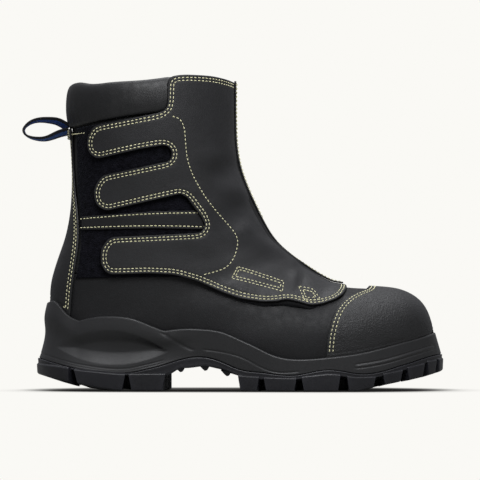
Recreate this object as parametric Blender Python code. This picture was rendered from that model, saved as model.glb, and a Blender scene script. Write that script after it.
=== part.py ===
"""Fire boot for the right foot: a pull-on leather boot with a quick-release front flap.

The flap is hinged on the front seam and held by three hook-and-loop fingers, over a metatarsal guard, a steel
toe cap and a lugged rubber outsole. Lengths are in millimetres and angles round the pivot in degrees; mesh_object
turns them into metres. +X points to the toe, +Y to the inner (medial) side and +Z up; the ground is z = 0.
"""

import math

import bmesh
import bpy
import numpy as np
from mathutils.geometry import delaunay_2d_cdt

for found in list(bpy.data.objects):
    bpy.data.objects.remove(found)

MM = 0.001
FULL_TURN = 2 * math.pi

# ---------------------------------------------------------------- driving dimensions
# The boot is an EU 43: its outsole is 318 mm long, from x = -153.7 to x = 164.
LEATHER = 2.0  # thickness of the base leather
PIVOT = np.array([215.0, 160.0])  # the rays from here cut the boot into its sections

# Offsets from the outer face of the base leather, outwards. Each layer keeps a gap to the next.
LINING_LAYER = (-7.2, -5.9)
INSERT_LAYER = (-4.9, -3.3)  # toe cap, heel counter and tongue, between lining and leather
OVERLAY_LAYER = (0.9, 2.4)  # toe bumper and back stay
PILE_LAYER = (0.8, 1.8)  # loop side of the hook-and-loop closure
HOOK_LAYER = (2.5, 3.4)
STRAP_LAYER = (2.5, 3.4)
FLAP_REST = 4.0  # inner face of the flap on the shaft
FLAP_THICK = 2.1
GUARD_LAYER = (1.4, 4.1)

# ---------------------------------------------------------------- outlines of the last, seen from the side
# Front and top line, from above the collar down the shin and over the instep to the toe.
FRONT_LINE = [
    (-4.5, 268), (-4.5, 240), (-4.4, 205), (-3.4, 187), (-0.2, 170), (6.6, 150.5), (15.8, 131), (28, 111.5),
    (40.5, 99.8), (54, 90.6), (66, 85.3), (77, 82), (90, 80), (104, 79.2), (118, 78.2), (129, 76.6),
    (137, 73.6), (144.5, 68.4), (149.6, 61.5), (152.8, 53), (154.8, 44), (155.5, 36),
]
# Feather line, where the upper meets the sole, from the toe to the heel, then the line up the back.
END_LINE = [
    (155.5, 36), (148, 32.5), (124, 26.5), (100, 21.8), (72, 19.4), (47, 19.2), (27, 22.5), (6, 29), (-15, 34.5),
    (-40, 38.5), (-75, 41.5), (-108, 42.6), (-130, 43.6), (-138.6, 48), (-140.2, 60), (-139.8, 74), (-138.8, 84),
    (-136.3, 93.5), (-133.2, 103), (-129.8, 112.5), (-126.8, 123), (-124.6, 135), (-123.2, 150), (-123, 175),
    (-124.3, 198), (-124.8, 225), (-124.8, 262), (-124.8, 320),
]
HEEL_END = (-138.6, 48)  # the feather line ends here and the back line starts

# Half-widths in plan, as (x, half width): of the feather line and of the upper at its widest.
FEATHER_PLAN = [
    (155.5, 0), (153.5, 15), (147, 27), (135.5, 38), (118, 45.5), (95, 49.8), (70, 50.5), (45, 48), (15, 42),
    (-15, 37.5), (-45, 35.8), (-75, 36), (-100, 35.6), (-119, 32), (-131, 23.5), (-137, 12), (-138.6, 0),
]
UPPER_PLAN = [
    (156, 0), (154.5, 15.5), (148.5, 28.5), (137, 40), (120, 48), (97, 52.3), (70, 53), (45, 50.3), (15, 45),
    (-15, 42), (-45, 41), (-75, 41), (-100, 40.5), (-119, 37), (-131, 27.5), (-137, 13), (-138.6, 0),
]
# Half-width of the leg and ankle by section angle.
LEG_WIDTH = [
    (154, 52), (162, 52), (168, 51), (173.5, 48.5), (179, 45), (185, 42.3), (191.5, 41), (198, 40.6), (204, 41.4),
    (210, 43.5), (216, 46), (224, 50), (245, 52),
]
# How far along its ray a section is widest, and how square its corners are, by section angle.
WIDEST_AT = [(154, 0.5), (175, 0.5), (192, 0.52), (202, 0.56), (214, 0.6), (230, 0.62), (245, 0.62)]
SQUARENESS = [(154, 0.05), (180, 0.05), (200, 0.04), (210, 0.06), (222, 0.14), (232, 0.2), (245, 0.15)]
TOE_SWING, SWING_FROM, SWING_POWER = 7.0, -20.0, 2.0  # the toe turns to the inner side
HEEL_SHIFT = -1.05  # centres the whole boot across y = 0

SECTION_STEP = 0.05
TIP_ANGLE = 244.3  # just short of the ray through the toe tip, where the sections shrink to nothing
NORMAL_STEP = (0.25, 0.02)  # in degrees along the boot and radians round it


# ---------------------------------------------------------------- curves
def spline_through(points, samples=24, closed=False):
    """Points along a cubic spline through the given ones, with the same number in each span."""
    p = np.array(points, float)
    wrap = 4 if closed else 0
    if closed:
        p = np.vstack([p[-wrap:], p, p[: wrap + 1]])
    t = np.concatenate([[0], np.cumsum(np.linalg.norm(np.diff(p, axis=0), axis=1))])
    n, h = len(p), np.diff(t)
    system, right = np.eye(n), np.zeros(p.shape)
    for i in range(1, n - 1):
        system[i, i - 1 : i + 2] = h[i - 1], 2 * (h[i - 1] + h[i]), h[i]
        right[i] = 6 * ((p[i + 1] - p[i]) / h[i] - (p[i] - p[i - 1]) / h[i - 1])
    bend = np.linalg.solve(system, right)
    spans = range(wrap, n - 1 - wrap)
    at = [np.linspace(t[i], t[i + 1], samples, endpoint=False) for i in spans]
    at = np.concatenate(at + [[t[spans[-1] + 1]]])
    i = np.clip(np.searchsorted(t, at, side="right") - 1, 0, n - 2)
    a = ((t[i + 1] - at) / h[i])[:, None]
    b = 1 - a
    bent = ((a**3 - a) * bend[i] + (b**3 - b) * bend[i + 1]) * (h[i] ** 2)[:, None] / 6
    curve = a * p[i] + b * p[i + 1] + bent
    return curve[:-1] if closed else curve


def smooth_step(x):
    x = np.clip(x, 0, 1)
    return x * x * (3 - 2 * x)


def resampled(line, step, closed=False):
    """The same line with points about step apart."""
    line = np.array(line, float)
    if closed:
        line = np.vstack([line, line[:1]])
    along = np.concatenate([[0], np.cumsum(np.linalg.norm(np.diff(line, axis=0), axis=1))])
    count = max(3, round(along[-1] / step) + 1)
    at = np.linspace(0, along[-1], count)
    out = np.stack([np.interp(at, along, line[:, k]) for k in range(line.shape[1])], axis=1)
    return out[:-1] if closed else out


def filleted(corners, arc_step=0.35):
    """An open or closed outline from corners (x, z, radius), with a round arc at each corner that has a radius."""
    corners = [c if len(c) == 3 else (*c, 0) for c in corners]
    points = []
    for i, (x, z, radius) in enumerate(corners):
        here = np.array([x, z], float)
        if radius == 0 or i in (0, len(corners) - 1):
            points.append(here)
            continue
        back = np.array(corners[i - 1][:2], float) - here
        ahead = np.array(corners[i + 1][:2], float) - here
        back, ahead = back / np.linalg.norm(back), ahead / np.linalg.norm(ahead)
        half = math.acos(float(np.clip(back @ ahead, -1, 1))) / 2
        middle = (back + ahead) / np.linalg.norm(back + ahead)
        centre = here + middle * radius / math.sin(half)
        start, end = here + back * radius / math.tan(half), here + ahead * radius / math.tan(half)
        turn = math.pi - 2 * half
        steps = max(2, math.ceil(turn / arc_step))
        for k in range(steps + 1):
            share = k / steps
            ray = (start - centre) * math.sin((1 - share) * turn) + (end - centre) * math.sin(share * turn)
            points.append(centre + ray / math.sin(turn))
    return np.array(points)


# ---------------------------------------------------------------- the last: a fan of sections about the pivot
def angle_and_radius(line):
    d = np.array(line) - PIVOT
    angle = np.degrees(np.arctan2(d[:, 1], d[:, 0])) % 360
    order = np.argsort(angle)
    return angle[order], np.hypot(d[:, 0], d[:, 1])[order]


def half_width(plan):
    """x and half-width of the outline through these points, mirrored so that it is round at both ends."""
    mirrored = [(x, -y) for x, y in plan[-2:0:-1]]
    outline = spline_through(list(plan) + mirrored, closed=True)
    outline = outline[: len(plan[:-1]) * 24 + 1]
    order = np.argsort(outline[:, 0])
    return outline[order, 0], np.maximum(outline[order, 1], 0)


def by_angle(pairs, angles):
    line = spline_through(pairs)
    return np.interp(angles, line[:, 0], line[:, 1])


def section_table():
    """What each section needs, by angle: both ends of its ray, widths, squareness and where it is widest."""
    angles = np.arange(154.5, TIP_ANGLE, SECTION_STEP)
    near = np.interp(angles, *angle_and_radius(spline_through(FRONT_LINE)))
    far = np.interp(angles, *angle_and_radius(spline_through(END_LINE)))
    far = np.maximum(far, near + 0.5)
    widest = by_angle(WIDEST_AT, angles)
    x_far = PIVOT[0] + far * np.cos(np.radians(angles))
    x_widest = PIVOT[0] + (near + (far - near) * widest) * np.cos(np.radians(angles))
    heel_angle = angle_and_radius([HEEL_END])[0][0]
    foot = smooth_step((angles - 203) / 10)
    leg = by_angle(LEG_WIDTH, angles)
    wide = leg + (np.interp(x_widest, *half_width(UPPER_PLAN)) - leg) * foot
    end = np.where(angles > heel_angle, np.interp(x_far, *half_width(FEATHER_PLAN)), 0)
    return {
        "angle": angles, "near": near, "far": far, "widest": widest, "wide": wide,
        "end": np.minimum(end, wide), "square": by_angle(SQUARENESS, angles),
    }


SECTIONS = section_table()


def section(name, angle):
    return np.interp(angle, SECTIONS["angle"], SECTIONS[name])


def swing(x):
    """How far the boot's middle line lies to the inner side: y of the line."""
    return TOE_SWING * np.clip((x - SWING_FROM) / (155 - SWING_FROM), 0, 1) ** SWING_POWER + HEEL_SHIFT


def wrapped(turn):
    """The turn brought into the range from -pi to pi; both ends stay as they are."""
    return np.where(np.abs(turn) > math.pi + 1e-6, (turn + math.pi) % FULL_TURN - math.pi, turn)


def surface(angle, turn):
    """The outer face of the base leather. turn is 0 on the front line, pi at the back or the feather line,
    and negative on the outer side."""
    angle, turn = np.broadcast_arrays(np.asarray(angle, float), np.asarray(turn, float))
    turn = wrapped(turn)
    square, widest, wide, end = (section(k, angle) for k in ("square", "widest", "wide", "end"))
    near, far = section("near", angle), section("far", angle)
    c, s = np.cos(turn), np.abs(np.sin(turn))
    along = c * (1 + square * s * s)
    across = s * (1 + square * c * c)
    share = np.where(c >= 0, widest * (1 - along), widest - (1 - widest) * along)
    steep = np.clip(end / wide, 0, 1)  # the foot part meets the sole steeply, the leg closes round the back
    under = across * (1 - steep) + across * across * steep
    y = np.where(c >= 0, wide * across, end + (wide - end) * under) * np.where(turn < 0, -1, 1)
    radius = near + (far - near) * share
    x = PIVOT[0] + radius * np.cos(np.radians(angle))
    z = PIVOT[1] + radius * np.sin(np.radians(angle))
    return np.stack([x, y + swing(x), z], axis=-1)


def slopes(angle, turn):
    da, dt = NORMAL_STEP
    along = (surface(angle + da, turn) - surface(angle - da, turn)) / (2 * da)
    round_it = (surface(angle, turn + dt) - surface(angle, turn - dt)) / (2 * dt)
    return along, round_it


def normal(angle, turn):
    """Outward direction. Along the feather line it is taken from just above the line, on the same side."""
    angle, turn = np.broadcast_arrays(np.asarray(angle, float), np.asarray(turn, float))
    turn = wrapped(turn)
    edge = math.pi - 1.5 * NORMAL_STEP[1]
    below = angle > angle_and_radius([HEEL_END])[0][0]
    turn = np.where(below & (np.abs(turn) > edge), np.sign(turn) * edge, turn)
    along, round_it = slopes(np.minimum(angle, TIP_ANGLE - 0.5), turn)
    n = np.cross(along, round_it)
    return n / np.maximum(np.linalg.norm(n, axis=-1, keepdims=True), 1e-9)


def offset_surface(angle, turn, offset):
    offset = offset(angle, turn) if callable(offset) else np.full(np.shape(angle), float(offset))
    return surface(angle, turn) + normal(angle, turn) * offset[..., None]


def locate(points, side, offset=0.0):
    """(angle, turn) of the places that lie at these (x, z) in side view, offset from the surface.
    side is -1 on the outer side of the boot and 1 on the inner side."""
    points = np.array(points, float)
    aim = points.copy()
    for _ in range(5):
        d = aim - PIVOT
        angle = np.degrees(np.arctan2(d[:, 1], d[:, 0])) % 360
        near, far, widest = (section(k, angle) for k in ("near", "far", "widest"))
        share = np.clip((np.hypot(d[:, 0], d[:, 1]) - near) / (far - near), 2e-4, 1 - 2e-4)
        along = np.where(share < widest, 1 - share / widest, (share - widest) / (1 - widest))
        square, c = section("square", angle), along.copy()
        for _ in range(5):
            c -= ((1 + square) * c - square * c**3 - along) / (1 + square - 3 * square * c * c)
        turn = np.arccos(np.clip(c, -1, 1))
        turn = np.where(share < widest, turn, math.pi - turn) * side
        if not offset:
            break
        n = normal(angle, turn)
        aim = points - offset * n[:, [0, 2]]
    return np.stack([angle, turn], axis=1)


# ---------------------------------------------------------------- meshes
CLEARANCE = 0.45  # between pieces laid edge to edge
MATERIALS = {
    "oiled_leather": ((0.03, 0.03, 0.031), 0.0, 0.42), "collar_leather": ((0.026, 0.026, 0.027), 0.0, 0.5),
    "pebbled_leather": ((0.028, 0.028, 0.029), 0.0, 0.6), "loop_pile": ((0.006, 0.006, 0.007), 0.0, 0.95),
    "hook_tape": ((0.01, 0.01, 0.011), 0.0, 0.8), "edge_tape": ((0.012, 0.012, 0.012), 0.0, 0.7),
    "midsole_rubber": ((0.024, 0.024, 0.025), 0.0, 0.5), "outsole_rubber": ((0.014, 0.015, 0.018), 0.0, 0.55),
    "spacer_fabric": ((0.05, 0.05, 0.055), 0.0, 0.9), "padding_foam": ((0.3, 0.3, 0.28), 0.0, 0.9),
    "bright_steel": ((0.55, 0.56, 0.57), 1.0, 0.35), "guard_plastic": ((0.02, 0.02, 0.021), 0.0, 0.45),
    "felt_padding": ((0.008, 0.008, 0.009), 0.0, 0.95), "fibre_board": ((0.32, 0.26, 0.16), 0.0, 0.85),
    "footbed_foam": ((0.03, 0.035, 0.05), 0.0, 0.9), "loop_webbing": ((0.012, 0.05, 0.17), 0.0, 0.8),
}


def material(name):
    found = bpy.data.materials.get(name)
    if found:
        return found
    colour, metallic, roughness = MATERIALS[name]
    made = bpy.data.materials.new(name)
    made.use_nodes = True
    shader = made.node_tree.nodes["Principled BSDF"]
    shader.inputs["Base Color"].default_value = (*colour, 1)
    shader.inputs["Metallic"].default_value = metallic
    shader.inputs["Roughness"].default_value = roughness
    made.diffuse_color = (*colour, 1)
    return made


def mesh_object(name, points, faces, slot, origin=(0, 0, 0), flat=()):
    """An object in metres from points in mm, with its origin where the piece turns. Faces in flat stay sharp."""
    mesh = bpy.data.meshes.new(name)
    mesh.from_pydata([tuple(p) for p in (np.array(points) - np.array(origin)) * MM], [], faces)
    for polygon in mesh.polygons:
        polygon.use_smooth = polygon.index not in flat
    mesh.materials.append(material(slot))
    made = bpy.data.objects.new(name, mesh)
    made.location = [v * MM for v in origin]
    bpy.context.scene.collection.objects.link(made)
    edited = bmesh.new()
    edited.from_mesh(mesh)
    bmesh.ops.recalc_face_normals(edited, faces=edited.faces)
    edited.to_mesh(mesh)
    edited.free()
    return made


def subdivided(outline, step, closed=True):
    out = []
    last = len(outline) if closed else len(outline) - 1
    for i in range(last):
        a, b = np.array(outline[i], float), np.array(outline[(i + 1) % len(outline)], float)
        parts = max(1, math.ceil(np.linalg.norm(b - a) / step - 0.3))
        out += [a + (b - a) * k / parts for k in range(parts)]
    if not closed:
        out.append(np.array(outline[-1], float))
    return np.array(out)


def inside(points, polygon):
    x, y = points[:, 0][:, None], points[:, 1][:, None]
    x0, y0 = polygon[:, 0], polygon[:, 1]
    x1, y1 = np.roll(x0, -1), np.roll(y0, -1)
    crosses = (y0 > y) != (y1 > y)
    at = x0 + (y - y0) / np.where(y1 == y0, 1e-9, y1 - y0) * (x1 - x0)
    return (crosses & (x < at)).sum(axis=1) % 2 == 1


def edge_distance(points, polygon):
    a, b = polygon, np.roll(polygon, -1, axis=0)
    ab = b - a
    best = np.full(len(points), 1e9)
    for p, d in zip(a, ab):
        share = np.clip(((points - p) @ d) / max(d @ d, 1e-9), 0, 1)
        best = np.minimum(best, np.linalg.norm(points - p - share[:, None] * d, axis=1))
    return best


SPREAD = np.array([4.2, 45.0])  # about how many mm a degree and a radian span


def sheet_of(outline, cell):
    """Triangles over a region given by its (angle, turn) outline: (angle, turn) points and faces.
    The points inside lie in rows of one turn each, the same length apart on the boot."""
    flat = np.array(outline) * SPREAD
    (first, low), (last, high) = flat.min(axis=0) / SPREAD, flat.max(axis=0) / SPREAD
    rows = []
    for j, turn in enumerate(np.arange(low, high, cell * 0.87 / SPREAD[1])):
        row = turn_line(first, last, turn, cell)
        rows.append((row[:-1] + row[1:]) / 2 if j % 2 else row)
    grid = np.vstack(rows) * SPREAD
    grid = grid[inside(grid, flat)]
    if len(grid):
        grid = grid[edge_distance(grid, flat) > cell * 0.3]
    if len(grid):  # where the sections close up, a grid point can lie much nearer the edge than it looks
        rim = surface(*(subdivided(flat, 2.0) / SPREAD).T)
        apart = np.linalg.norm(surface(*(grid / SPREAD).T)[:, None] - rim[None], axis=2).min(axis=1)
        grid = grid[apart > cell * 0.45]
    points = [tuple(p) for p in flat] + [tuple(p) for p in grid]
    found = delaunay_2d_cdt(points, [], [list(range(len(flat)))], 1, 1e-5)
    params = np.array([tuple(v) for v in found[0]]) / SPREAD
    return params, relaxed(surface(*params.T), [list(f) for f in found[2]])


def relaxed(points, faces):
    """The same triangles with their edges turned so that they follow the surface in space."""
    edited = bmesh.new()
    vertices = [edited.verts.new(p) for p in points]
    for f in faces:
        edited.faces.new([vertices[i] for i in f])
    for method in ("AREA", "ANGLE"):
        inner = [e for e in edited.edges if len(e.link_faces) == 2]
        bmesh.ops.beautify_fill(edited, faces=edited.faces[:], edges=inner, method=method)
    edited.verts.index_update()
    turned = [[v.index for v in f.verts] for f in edited.faces]
    edited.free()
    return turned


def thickened(params, faces, low, high):
    """Points and faces of the closed layer between two offsets from the surface, and which faces are its rim."""
    a, t = params[:, 0], params[:, 1]
    key = np.round(surface(a, t) / 0.01).astype(int)
    _, first, index = np.unique(key, axis=0, return_index=True, return_inverse=True)
    index = index.reshape(-1)
    a, t = a[first], t[first]
    faces = [[int(index[i]) for i in f] for f in faces]
    faces = [f for f in faces if len(set(f)) == len(f)]
    inner, outer = offset_surface(a, t, low), offset_surface(a, t, high)
    n = len(a)
    used = {}
    for f in faces:
        for i in range(len(f)):
            edge = (f[i], f[(i + 1) % len(f)])
            used[frozenset(edge)] = None if frozenset(edge) in used else edge
    rim = [e for e in used.values() if e]
    whole = [list(f) for f in faces] + [[i + n for i in reversed(f)] for f in faces]
    whole += [[b, a_, a_ + n, b + n] for a_, b in rim]
    flat = set(range(2 * len(faces), len(whole)))
    return np.vstack([outer, inner]), whole, flat


def layer(name, outline, layer_offsets, slot, cell=10.0, origin=(0, 0, 0)):
    """A piece that lies on the boot between two offsets, from its (angle, turn) outline."""
    outline = subdivided(np.array(outline) * SPREAD, cell) / SPREAD
    params, faces = sheet_of(outline, cell)
    points, whole, flat = thickened(params, faces, *layer_offsets)
    return mesh_object(name, points, whole, slot, origin, flat)


def side_outline(corners, side, offset, cell=10.0, arc_step=0.6, closed=True):
    """(angle, turn) points of an outline drawn in side view with corners (x, z, radius)."""
    corners = list(corners)
    if closed:
        corners = corners + [corners[0][:2]]
    line = filleted(corners, arc_step)
    if closed:
        line = line[:-1]
    return locate(subdivided(line, cell, closed), side, offset)


def mirrored(outline):
    return np.array(outline)[::-1] * [1, -1]


def turn_line(angle_from, angle_to, turn, cell=10.0):
    """(angle, turn) points along one turn, the same length apart on the boot."""
    angles = np.linspace(angle_from, angle_to, 300)
    steps = np.linalg.norm(np.diff(surface(angles, turn), axis=0), axis=1)
    along = np.concatenate([[0], np.cumsum(steps)])
    angles = np.interp(np.linspace(0, along[-1], max(2, math.ceil(along[-1] / cell) + 1)), along, angles)
    return np.stack([angles, np.full(len(angles), float(turn))], axis=1)


def angle_of(x, z):
    return float(angle_and_radius([(x, z)])[0][0])


def joined(*runs):
    """One outline from runs of points, without the points that repeat."""
    points = np.vstack(runs)
    step = np.abs((points - np.roll(points, 1, axis=0)) * SPREAD).max(axis=1)
    return points[step > 0.3]


def united(target, cutter, operation):
    change = target.modifiers.new(operation.lower(), "BOOLEAN")
    change.operation, change.object, change.solver = operation, cutter, "EXACT"
    cutter.hide_render, cutter.display_type = True, "WIRE"
    return change


# ---------------------------------------------------------------- outlines of the pieces, (x, z, corner radius)
COLLAR_SEAM = [(-126, 205.3), (-106.8, 207.5), (-79.4, 212.3), (-57.6, 215), (-50, 216.5)]
COLLAR_TOP = [(-129, 236), (-120, 239.5), (-112, 238.4), (-96, 239), (-79.6, 240), (-65.8, 241), (-50, 243)]
SHAFT_TOP = 240.0
COLLAR_FROM = 1.28  # turn at which the collar starts, under the flap
VAMP_SEAM = [(-138, 89), (-100, 93), (-60, 94), (-25, 88), (20, 84), (42, 88), (58, 89)]  # under the flap
LIP_LINE = [
    (-143, 67), (-140, 68.5), (-130.7, 60), (-120, 53.2), (-107, 56.2), (-93, 56.8), (-80, 55.3), (-64, 49.4),
    (-53.8, 45.6), (-39.8, 47.2), (-25, 47), (-9.4, 45), (6, 39), (18.3, 33.5), (30.8, 27.5), (40.7, 24.6),
    (53, 23.6), (68, 24.4), (78, 25.4), (100, 28.3), (118, 32.5), (136, 37.3), (151, 41.5), (157.6, 43.8),
]
BOUNDARY_LINE = [
    (-151, 25.5), (-138, 20), (-125, 16.8), (-110, 14.7), (-98, 13.9), (-86, 14.7), (-74, 17.2), (-64, 19.5),
    (-50, 23.5), (-35, 26.5), (-20, 25.5), (-8, 21.5), (4, 17), (23.4, 14.6), (38, 12.9), (50.7, 12.9), (63, 15.2),
    (76.4, 16.9), (88, 15.8), (100, 13.8), (112, 14.2), (121, 16), (130, 18.7), (142, 22.4), (154, 26.5), (162.4, 28.3),
]
PLATE_LINE = [  # underside of the outsole between its lugs
    (-153, 20), (-138, 17.4), (-123, 14.8), (-98, 12.2), (-80, 12.4), (-56, 12.6), (-48, 13), (-40, 14.8),
    (-34, 16.4), (-24.6, 17.4), (-17.5, 16.8), (-8.6, 14.8), (-0.5, 12.5), (8, 10.8), (38, 9.3), (50, 9.3),
    (63, 11.2), (76, 12.6), (88, 11.6), (100, 10), (112, 10.4), (130, 14.6), (142, 18), (154, 22), (164, 24),
]
GROUND_LINE = [
    (-154, 13.5), (-151.6, 12.9), (-139.6, 8.5), (-127.7, 5.5), (-118.8, 3.1), (-103, 0.8), (-95, 0), (100, 0),
    (108.7, 2.1), (117.6, 4.4), (130, 6.9), (136.7, 8), (148, 10.5), (158, 13.4), (162, 14.8), (166, 17),
]
LUG_RANGES = [(6, 19), (26, 48), (55, 82), (90, 109), (118, 130), (137, 147.5), (152.5, 157.5)]
TOE_LUG_FROM, HEEL_LUG_TO = 160.6, -126.5
HEEL_LUG_RANGES = [(-120, -85.3), (-78, -54)]
CENTRE_LUGS = [(14, 36, 16), (44, 66, 20), (74, 96, 20), (104, 122, 17), (130, 143, 10)]  # x from, x to, half width
ARCH_RIBS = [-40, -21, -4]

# Flap, from the ridge round its edge. The two finger roots cut its outline at the ends of the slots.
FLAP_TOP = [(-4.3, 241.5), (-14, 243.5), (-28, 244.5), (-44, 243.8), (-49.4, 239)]
FINGER_UPPER = [(-50.5, 217.2, 0), (-57.7, 215, 3), (-107, 205.5, 7), (-112.7, 195, 14), (-111, 184, 9),
                (-104, 179.6, 6), (-71.4, 187, 40), (-50.5, 189.8, 0)]
FINGER_MIDDLE = [(-47.5, 178.6, 0), (-54, 177, 8), (-99.8, 167.3, 7), (-107.8, 158, 16), (-105.6, 144, 9),
                 (-97.5, 139.2, 8), (-44.6, 151.4, 12), (-40.5, 152.2, 0)]
FINGER_LOWER = [(-28.6, 122.6, 0), (-60, 121, 60), (-95, 119.4, 9), (-101.8, 110, 12), (-101.8, 98, 10),
                (-96.5, 90, 8), (-64.5, 91, 60), (-44.6, 90, 30), (-27, 85, 0)]
FLAP_LOWER = [(-26.6, 84.8), (-9, 77), (7, 71.5), (24, 69), (34.7, 69.6), (42.7, 71.3), (50.6, 69.7), (61, 67.5),
              (70.5, 70), (80, 73.6), (85.5, 77.5)]
FLAP_TIP = (87.5, 80)
RIDGE_GAP = 0.025
HINGE_OFFSETS = (6.4, 7.3)  # of the flap's hinge line at its top and bottom: just outside the flap's outer face


def flap_low(angle, turn):
    """Inner face of the flap: it rises over the metatarsal guard."""
    return FLAP_REST + 0.9 * smooth_step((surface(angle, turn)[..., 0] + 8) / 18)


def pad_high(angle, turn):
    return flap_low(angle, turn) - 0.5


def flap_high(angle, turn):
    return flap_low(angle, turn) + FLAP_THICK


def strip_low(angle, turn):
    return flap_high(angle, turn) + 0.5


def strip_high(angle, turn):
    return strip_low(angle, turn) + 1.1


def line_at(line, x):
    points = np.array(line)
    return np.interp(x, points[:, 0], points[:, 1])


def shaft_points(heights, turns):
    """(angle, turn) at these heights on the shaft."""
    low, high = np.full(np.shape(turns), 155.5), np.full(np.shape(turns), 205.0)
    for _ in range(30):
        middle = (low + high) / 2
        above = surface(middle, turns)[..., 2] > heights
        low, high = np.where(above, middle, low), np.where(above, high, middle)
    return np.stack([low, turns], axis=-1)


# ---------------------------------------------------------------- upper
HEEL_ANGLE = angle_of(*HEEL_END)
TOE_ANGLE, INNER_TOE_ANGLE = 243.8, 242.2
BACK = math.pi
SEAM_SLIT = 0.008
HEEL_CUP = [(-58, 43.5), (-75, 47), (-100, 49.5), (-125, 51.5), (-136, 52.5), (-140, 53)]


def toe_row(angle):
    """The short last row across the toe, from the outer side to the inner."""
    turns = np.linspace(-BACK, BACK, 15)[1:-1]
    return np.stack([np.full(len(turns), angle), turns], axis=1)


def heel_run(first_x):
    """Round the heel, a little above the feather line, where the last turns under too sharply to offset."""
    line = [p for p in subdivided(HEEL_CUP, 7, closed=False) if p[0] <= first_x]
    return locate(line[:-1], 1)


def feather_run(toe_angle, turn):
    """The lower edge of a piece of the upper, from the toe to the back of the heel."""
    return np.vstack([turn_line(toe_angle, angle_of(-50, 39.4), turn), heel_run(-50)])


def build_lining():
    turns = np.linspace(BACK, 0.85, 18)
    top = shaft_points(np.interp(surface(171, turns)[:, 0], *np.array(COLLAR_SEAM).T) + 0.5, turns)
    notch = side_outline([(-32, 212), (-10, 140), (16, 108)], 1, 0, closed=False)
    ridge = angle_of(42, 99)
    back = turn_line(angle_of(*HEEL_CUP[-1]), top[0, 0], BACK)
    half = np.vstack([feather_run(INNER_TOE_ANGLE, BACK), back, top[:-1], notch, [(ridge, 0.0)]])
    outline = joined(half, mirrored(half[:-1]), toe_row(INNER_TOE_ANGLE))
    return layer("lining", outline, LINING_LAYER, "spacer_fabric", cell=13)


def build_base():
    seam_edge = side_outline(VAMP_SEAM, 1, 0, closed=False)
    ridge = angle_of(58, 89) + 0.6
    back = BACK - SEAM_SLIT
    low = angle_of(-138, 88)
    up = turn_line(angle_of(*HEEL_CUP[-1]), low, back)
    half = np.vstack([feather_run(TOE_ANGLE, back), up, seam_edge[1:-1], [(ridge, 0.0)]])
    outline = joined(half, mirrored(half[:-1]), toe_row(TOE_ANGLE))
    layer("vamp", outline, (-LEATHER, 0), "oiled_leather", cell=10)

    for name, side, front in (
        ("quarter_lateral", -1, [(-36, 217), (-31, 190), (-22, 160), (-8, 130), (10, 104), (26, 90)]),
        ("quarter_medial", 1, [(-14, 222), (-12, 190), (-6, 160), (6, 130), (22, 108), (42, 92)]),
    ):
        top = [(x, z + 1.5) for x, z in COLLAR_SEAM]
        bottom = [(x, z + CLEARANCE + 0.3) for x, z in VAMP_SEAM if x < front[-1][0] - 8]
        path = top[1:] + front + bottom[::-1]
        edge = locate(subdivided(path, 9, closed=False), side)
        edge = edge[np.abs(edge[:, 1]) < back - 0.05]
        start = shaft_points(np.array([top[0][1]]), np.array([side * back]))[0]
        end = angle_of(-137.3, 91.2)
        outline = joined(edge, turn_line(end, start[0], side * back))
        layer(name, outline, (-LEATHER, 0), "oiled_leather", cell=10)


def build_inserts():
    """Toe cap, heel counter and tongue, between the lining and the leather."""
    edge = side_outline([(112, 24.5), (108, 40), (106, 60), (110, 77)], 1, -3, closed=False)
    low = turn_line(INNER_TOE_ANGLE, edge[0, 0], BACK - 0.02)
    half = np.vstack([low, edge[1:-1], [(angle_of(111, 78.8), 0.0)]])
    outline = joined(half, mirrored(half[:-1]), toe_row(INNER_TOE_ANGLE))
    layer("steel_toe_cap", outline, INSERT_LAYER, "bright_steel", cell=10)

    edge = side_outline([(-64, 49), (-66, 62, 12), (-84, 88, 12), (-112, 95, 20), (-135, 98)], 1, -3, closed=False)
    top, bottom = [(angle_of(-137, 96), BACK)], [(angle_of(*HEEL_CUP[-1]), BACK)]
    half = np.vstack([top, edge[::-1][1:], heel_run(-70), bottom])
    other = half[::-1] * [1, -1] + [0, 2 * BACK]
    layer("heel_counter", joined(half, other[1:-1]), INSERT_LAYER, "fibre_board", cell=9)

    lateral = locate(subdivided([(-41, 239), (-41, 190), (-35, 150), (-16, 118), (10, 96), (40, 82)], 9, False), -1)
    medial = locate(subdivided([(-24, 239), (-22, 190), (-16, 155), (-2, 126), (18, 104), (46, 86)], 9, False), 1)
    low = np.array([(angle_of(56, 89.8), -0.4), (angle_of(58, 88.8), 0.0), (angle_of(56, 89.8), 0.4)])
    turns = np.linspace(medial[0, 1], lateral[0, 1], 7)[1:-1]
    top = shaft_points(SHAFT_TOP - 1.5 + 0 * turns, turns)
    layer("tongue", joined(lateral, low, medial[::-1], top), INSERT_LAYER, "collar_leather", cell=10)


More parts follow.
